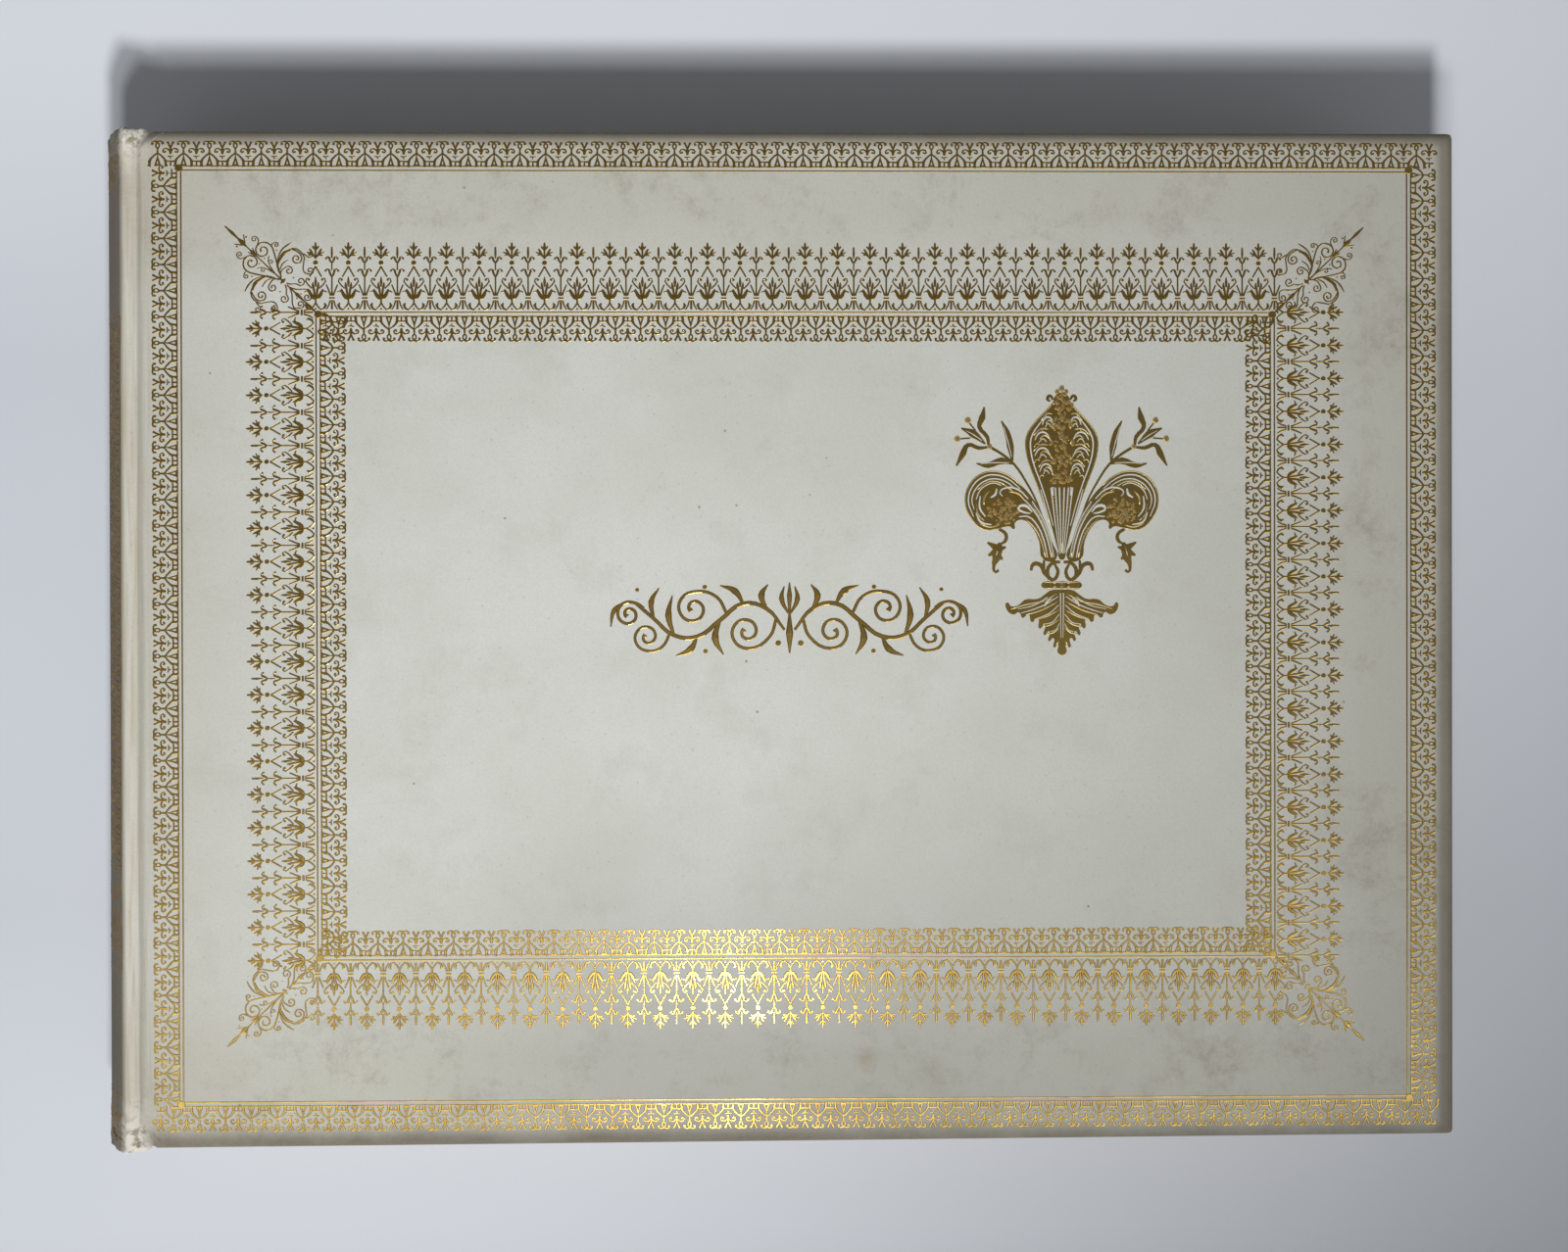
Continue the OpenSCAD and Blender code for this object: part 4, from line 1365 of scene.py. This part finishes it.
for knots in (
    ((1.2, -23.4, 0.3), (5.0, -25.8, 0.45), (9.6, -27.6, 0.4), (12.4, -28.4, 0.25)),
    ((1.0, -26.0, 0.3), (4.0, -28.6, 0.45), (8.0, -30.2, 0.3)),
    ((0.9, -28.8, 0.3), (3.0, -31.2, 0.4), (5.8, -31.8, 0.25)),
    ((0.8, -31.6, 0.25), (2.0, -33.6, 0.35), (3.6, -34.0, 0.2)),
    ((4.4, -23.6, 0.3), (8.4, -26.0, 0.4), (13.4, -27.2, 0.25)),
    ((3.2, -24.0, 0.4), (4.6, -25.0, 0.9), (5.2, -26.4, 0.4)),
):
    bare += both(*knots)
for x, y, tip_x, tip_y in (
    (15.2, 19.0, 17.6, 28.0),
    (16.0, 17.1, 24.6, 16.8),
    (24.2, 23.8, 29.0, 26.8),
    (19.2, -8.4, 20.2, -12.2),
):
    bare += both((x, y, 0.25), ((x + tip_x) / 2, (y + tip_y) / 2 + 0.2, 0.4), (tip_x, tip_y, 0.2))
bare_stroke = stroke_section("bare_stroke", 0.6, 0.4)
bare_lines = draw_gold("lily_bare_lines", bare, (), 3, 1.0, bare_stroke)
bare_lines.data.materials.append(vellum)
on_cover(bare_lines, *LILY_AT)
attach(bare_lines, "front_cover")

ridges = both(*[(x, y, 0.4) for x, y in petal_half[2:11]])
ridges += both(*[(x, y, 0.4) for x, y in side_petal[7:16]])
for level, reach in LILY_TIERS:
    root = 2.6 / reach
    ridges += tier(
        level, reach, (root, -3.6, 0.4), (4.4, -1.2, 0.7), (5.6, -1.0, 0.5), (6.6, -2.0, 0.3)
    )
    ridges += tier(level, reach, (4.0, 0.9, 0.3), (6.2, 1.1, 0.6), (8.6, -1.0, 0.4))
    ridges += tier(level, reach, (6.6, -3.8, 0.3), (7.6, -3.4, 0.5), (8.4, -4.6, 0.3))
ridges += both((10.8, 5.2, 0.4), (13.2, 7.8, 0.7), (16.0, 8.4, 0.5))
ridges += both((22.0, 8.6, 0.4), (23.6, 6.6, 0.7), (23.6, 4.4, 0.4))
ridges += both(
    (14.6, 8.2, 0.3), (17.4, 10.5, 0.5), (20.4, 11.6, 0.5), (23.0, 11.1, 0.5), (25.5, 9.0, 0.4)
)
ridges += both((23.6, -0.4, 0.3), (25.4, 1.6, 0.6), (25.9, 4.6, 0.4))
ridges += both((19.2, -1.8, 0.4), (22.0, -2.3, 0.6), (25.0, -1.2, 0.4))
ridges += both((5.0, -11.6, 0.4), (6.1, -6.8, 0.6), (8.3, -2.5, 0.6), (11.2, 0.2, 0.4))
ridges += both((2.8, -11.6, 0.3), (4.0, -6.2, 0.5), (6.2, -0.1, 0.5), (9.2, 4.6, 0.4))
ridges += both((1.6, -22.6, 0.4), (6.0, -24.8, 0.6), (11.0, -25.8, 0.6), (15.4, -27.2, 0.4))
for x, y, tip_x, tip_y in (
    (1.0, -24.8, 11.0, -29.0),
    (0.9, -27.4, 8.4, -30.4),
    (0.8, -30.2, 6.0, -32.6),
    (0.7, -32.8, 4.6, -34.8),
):
    ridges += both((x, y, 0.3), ((x + tip_x) / 2, (y + tip_y) / 2 - 0.5, 0.6), (tip_x, tip_y, 0.4))
ridges += both((0.4, 9.0, 0.3), (0.3, 0, 0.4), (0.1, -10, 0.2))
ridges += both((0.9, -36.6, 0.3), (1.6, -38.0, 0.5))
ridges += [[(x, y, 0.4) for x in (-5.4, 0, 5.4)] for y in (-19.1, -20.9)]
scatter = random.Random(11)
grains = []
while len(grains) < PETAL_GRAINS:
    x, y = scatter.uniform(-4, 4), scatter.uniform(10.8, 38)
    if abs(x) < 2.4 + 1.1 * math.sin(y * 1.15):
        grains.append((x, y, scatter.uniform(*GRAIN_R)))
grains += [(0, 39.6, 1.0), (1.4, 38.6, 0.8), (-1.4, 38.6, 0.8)]
for side in (-1, 1):
    for _ in range(CUP_GRAINS):
        swing, reach = scatter.uniform(0, 2 * math.pi), 4.6 * math.sqrt(scatter.random())
        x, y = side * 17.9 + reach * math.cos(swing), 2.5 + 0.9 * reach * math.sin(swing)
        grains.append((x, y, scatter.uniform(*GRAIN_R)))
    for x, y, radius in ((21.9, 22.0, 0.9), (28.5, 29.9, 1.1), (31.7, 24.3, 1.1)):
        grains.append((side * x, y, radius))
    grains += [(side * (2.4 - 0.12 * step), 7.4 - 0.9 * step, 0.3) for step in range(8)]
    grains += [(side * (7.6 - 0.28 * step), -2.6 - 0.8 * step, 0.3) for step in range(8)]
stamp = joined(plates)
stamp.name = "lily_stamp"
on_cover(stamp, *LILY_AT)
gild(stamp)
# Painted highlight: the lily's ridges and grains take a paler, lighter copy of the gold leaf.
pale_highlight_gold = gold_finish(
    "pale highlight gold leaf", tint(236, 216, 162), tint(200, 170, 112), 0.3, 0.46
)
relief = draw_gold(
    "lily_relief", ridges, grains, 3, RELIEF_WEIGHT, ridge_stroke, RELIEF_DOME
)
on_cover(relief, *LILY_AT)
gild(relief, finish=pale_highlight_gold, edge=pale_highlight_gold)

# Panel ornament. A loose arabesque of leaf scrolls fills the middle of the panel beside the lily.
# It is tooled by hand with a leaf, a curl and a dot.
ORNAMENT_AT = (5.0, 4.7)
ORNAMENT_WEIGHT = 1.3
vine = both(
    (1.5, -3, 0.8), (7, 3.5, 1.3), (14, 5, 1.4), (21, 0, 1.4), (28, -5, 1.4), (35, -4.5, 1.3),
    (41, 0.5, 1.2), (46.5, 5.2, 1.1)
)
vine += both(*scroll([(44, 3.6), (46.5, 5.2)], (48.6, 1.8), -1.5, 1.0))
vine += both(*scroll([(4, 0.5), (6, -5), (12.5, -8.6)], (13, -3.5), 1.4, 1.0))
vine += both(*scroll([(19, 2), (22, 7), (28, 8.7)], (29, 3.5), -1.4, 1.0))
vine += both(*scroll([(36, -3.5), (38.5, -8), (42.5, -9.3)], (43, -5), 1.4, 0.9))
for knots in (
    ((7, 3.5, 0.8), (8.5, 7.5, 2.2), (6.5, 10.8, 0.3)),
    ((14, 5, 0.8), (16.5, 8.8, 2.2), (21, 10.5, 0.3)),
    ((21, 0, 0.8), (22.5, -5.5, 2.4), (20, -10.4, 0.3)),
    ((28, -5, 0.8), (30, -8.8, 2.2), (34.5, -10.8, 0.3)),
    ((35, -4.4, 0.8), (36.6, 1.5, 2.2), (35.4, 7.5, 0.3)),
    ((41, 0.5, 0.7), (41.8, 5.5, 1.9), (39.4, 9.8, 0.3)),
    ((50, 5.4, 0.6), (53, 3, 1.6), (54, -2, 0.3)),
    ((0.3, 2, 0.6), (2.4, 6.5, 1.7), (1.6, 10.2, 0.3)),
):
    vine += both(*knots)
vine += [[(0, -10, 0.4), (0, -4, 2.4), (0, 2, 0.7)], [(0, 2, 0.6), (0, 7.4, 1.7), (0, 11.4, 0.3)]]
berry_half = [(3.4, -7, 1.0), (25.6, 10, 0.8), (25.4, -9.4, 0.8), (46, 9.2, 0.7)]
berries = [(side * x, y, radius) for side in (-1, 1) for x, y, radius in berry_half]
arabesque = draw_gold("panel_arabesque", vine, berries, 4, ORNAMENT_WEIGHT)
on_cover(arabesque, *ORNAMENT_AT)
gild(arabesque)

# Spine gilding. Double lines cross the round back, with rolls between them at head and tail.
# A long framed panel of roll work fills the middle.
SPINE_LINES = (149.6, 137.4, 97.4, -70, -76, -95, -101.3, -139.2, -151.4)
SPINE_SPAN = 24
SPINE_WEIGHT = 1.25
FLOWER_SIZE = 0.85
FLOWERS_ACROSS, FLOWERS_DOWN = 9.6, 20.6
SPINE_LIFT = 0.03 * MM


def wrap_on_spine(piece):
    """Bend a flat gold piece round the back: x becomes the way round from the middle, y stays."""
    for corner in piece.data.vertices:
        along, y, up = corner.co
        swing = along / SPINE_R
        x, z = ROUND_X - SPINE_R * math.cos(swing), MIDDLE_Z + SPINE_R * math.sin(swing)
        out = SPINE_R + up + cap_wear(x, y, z) + SPINE_LIFT
        corner.co = (ROUND_X - out * math.cos(swing), y, MIDDLE_Z + out * math.sin(swing))


spine_strokes = []
for level in SPINE_LINES:
    for step in (-0.6, 0.6):
        run = range(-SPINE_SPAN, SPINE_SPAN + 1, 4)
        spine_strokes.append([(along, level + step, LINE_W) for along in run])
for along in (-SPINE_SPAN, SPINE_SPAN):
    spine_strokes.append([(along, level, LINE_W) for level in (97, 60, 20, -20, -60, -101)])
for base, count in ((138.6, 6), (-150.2, 6)):
    for number in range(count):
        along = (number - count / 2) * ROLL_PITCH + ROLL_PITCH / 4
        spine_strokes += moved(roll_strokes, along, base)
small_flower = [
    [(x * FLOWER_SIZE, y * FLOWER_SIZE, width) for x, y, width in stroke] for stroke in flower
]
for number in range(5):
    spine_strokes += moved(small_flower, (number - 2) * FLOWERS_ACROSS, -94)
for number in range(21):
    level = 95.5 - (number + 0.75) * ROLL_PITCH
    for side in (-1, 1):
        edge = SPINE_SPAN - 0.8
        for stroke in roll_strokes:
            spine_strokes.append(
                [(side * (edge - y), level + side * x, width) for x, y, width in stroke]
            )
for number in range(8):
    spine_strokes += moved(flower, 0, 74 - number * FLOWERS_DOWN)
# Worn gold with painted shade: the spine's gilding is a darker, duller copy of the gold leaf.
worn_and_shaded_gold = gold_finish("worn and shaded gold leaf", tint(158, 124, 70), tint(116, 92, 58), 0.5, 0.7)
spine_gold = draw_gold("spine_gilding", spine_strokes, (), 1, SPINE_WEIGHT)
wrap_on_spine(spine_gold)
spine_gold.data.materials.append(worn_and_shaded_gold)
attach(spine_gold, "text_block")
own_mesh(spine_gold)

# Floor. A plain pale table top under the album.
# It has a faint sheen and takes the shadow of the book.
FLOOR_W = 6.0
deselect_all()
bpy.ops.mesh.primitive_plane_add(size=FLOOR_W)
floor = bpy.context.object
floor.name = "floor"
table_finish, tree, shader, place = new_finish("pale table", 0.55, Specular_IOR_Level=0.2)
shade = between(tree, cloud(tree, place, 6, 4), 0.35, 0.65)
axes = add_node(tree, "SeparateXYZ", None, {"Vector": place}).outputs
# Painted light: the table is painted lighter away from the book towards head and tail, and towards
# the right.
painted_light_outward = between(tree, sums(tree, "ABSOLUTE", axes["Y"], 0), 90 * MM, 200 * MM)
under = mixed(tree, shade, tint(212, 216, 223), tint(208, 212, 220))
top = mixed(tree, painted_light_outward, under, tint(229, 233, 240))
top = mixed(tree, between(tree, axes["X"], 80 * MM, 260 * MM, 0, 0.6), top, tint(238, 242, 249))
tree.links.new(top, shader.inputs["Base Color"])
floor.data.materials.append(table_finish)

# Light. Two lamps close together in front of the book and a dim room, paler towards the front.
# A strip of pale window in front shows in reflections only, and the lower lamp shows in none.
LAMP_AIM = Vector((-10.6, 22.4, -10))
LAMP_POWER = 40
LAMP_SPREAD = math.radians(178)
LAMP_R = 25 * MM
ROOM_TINT = (0.96, 0.98, 1.0, 1)
for name, lamp_at, share, in_reflections in (
    ("low_lamp", (25, -306, 465), 0.7, False),
    ("high_lamp", (-31, -255, 475), 0.3, True),
):
    lamp_data = bpy.data.lights.new(name, "SPOT")
    lamp_data.energy = LAMP_POWER * share
    lamp_data.spot_size = LAMP_SPREAD
    lamp_data.spot_blend = 1.0
    lamp_data.shadow_soft_size = LAMP_R
    lamp_data.use_nodes = True
    tree = lamp_data.node_tree
    even = tree.nodes.new("ShaderNodeLightFalloff")
    even.inputs["Strength"].default_value = 1.0
    tree.links.new(even.outputs["Constant"], tree.nodes["Emission"].inputs["Strength"])
    lamp = bpy.data.objects.new(name, lamp_data)
    bpy.context.collection.objects.link(lamp)
    lamp.location = Vector(lamp_at) * MM
    lamp.rotation_euler = LAMP_AIM.to_track_quat("-Z", "Y").to_euler()
    lamp.visible_glossy = in_reflections
world = bpy.data.worlds.new("room")
bpy.context.scene.world = world
world.use_nodes = True
tree = world.node_tree
towards = tree.nodes.new("ShaderNodeTexCoord").outputs["Generated"]
looking = add_node(tree, "SeparateXYZ", None, {"Vector": towards}).outputs
tree.nodes["Background"].inputs["Color"].default_value = ROOM_TINT
walls = between(tree, looking["Z"], 0, 0.85, 0.43, 0.02)
window = between(tree, looking["Y"], -0.45, -0.15, 0.22, 0)
reflected = add_node(tree, "LightPath").outputs["Is Glossy Ray"]
pane = between(tree, looking["Y"], -0.28, -0.19, 1, 0.08)
gleam = sums(tree, "MULTIPLY", pane, reflected)
brightness = sums(tree, "ADD", sums(tree, "ADD", walls, window), gleam)
tree.links.new(brightness, tree.nodes["Background"].inputs["Strength"])

# Camera. It looks straight down on the closed book from a short height.
# Its place and turn come from the four corners of the outer fillet.
CAMERA_AT = Vector((-0.45, 3.8, 414.2)) * MM
CAMERA_TURN = (0.14, 0.583, 0.121)
FILM_W, LENS = 36, 28.125
camera_data = bpy.data.cameras.new("camera")
camera_data.sensor_width = FILM_W
camera_data.sensor_fit = "HORIZONTAL"
camera_data.lens = LENS
camera_data.clip_start = 0.01
camera = bpy.data.objects.new("camera", camera_data)
bpy.context.collection.objects.link(camera)
turns = [Matrix.Rotation(math.radians(angle), 3, axis) for angle, axis in zip(CAMERA_TURN, "XYZ")]
turn = (turns[2] @ turns[1] @ turns[0]).inverted()
camera.matrix_world = Matrix.Translation(CAMERA_AT) @ turn.to_4x4()
bpy.context.scene.camera = camera
bpy.context.scene.view_settings.view_transform = "Standard"
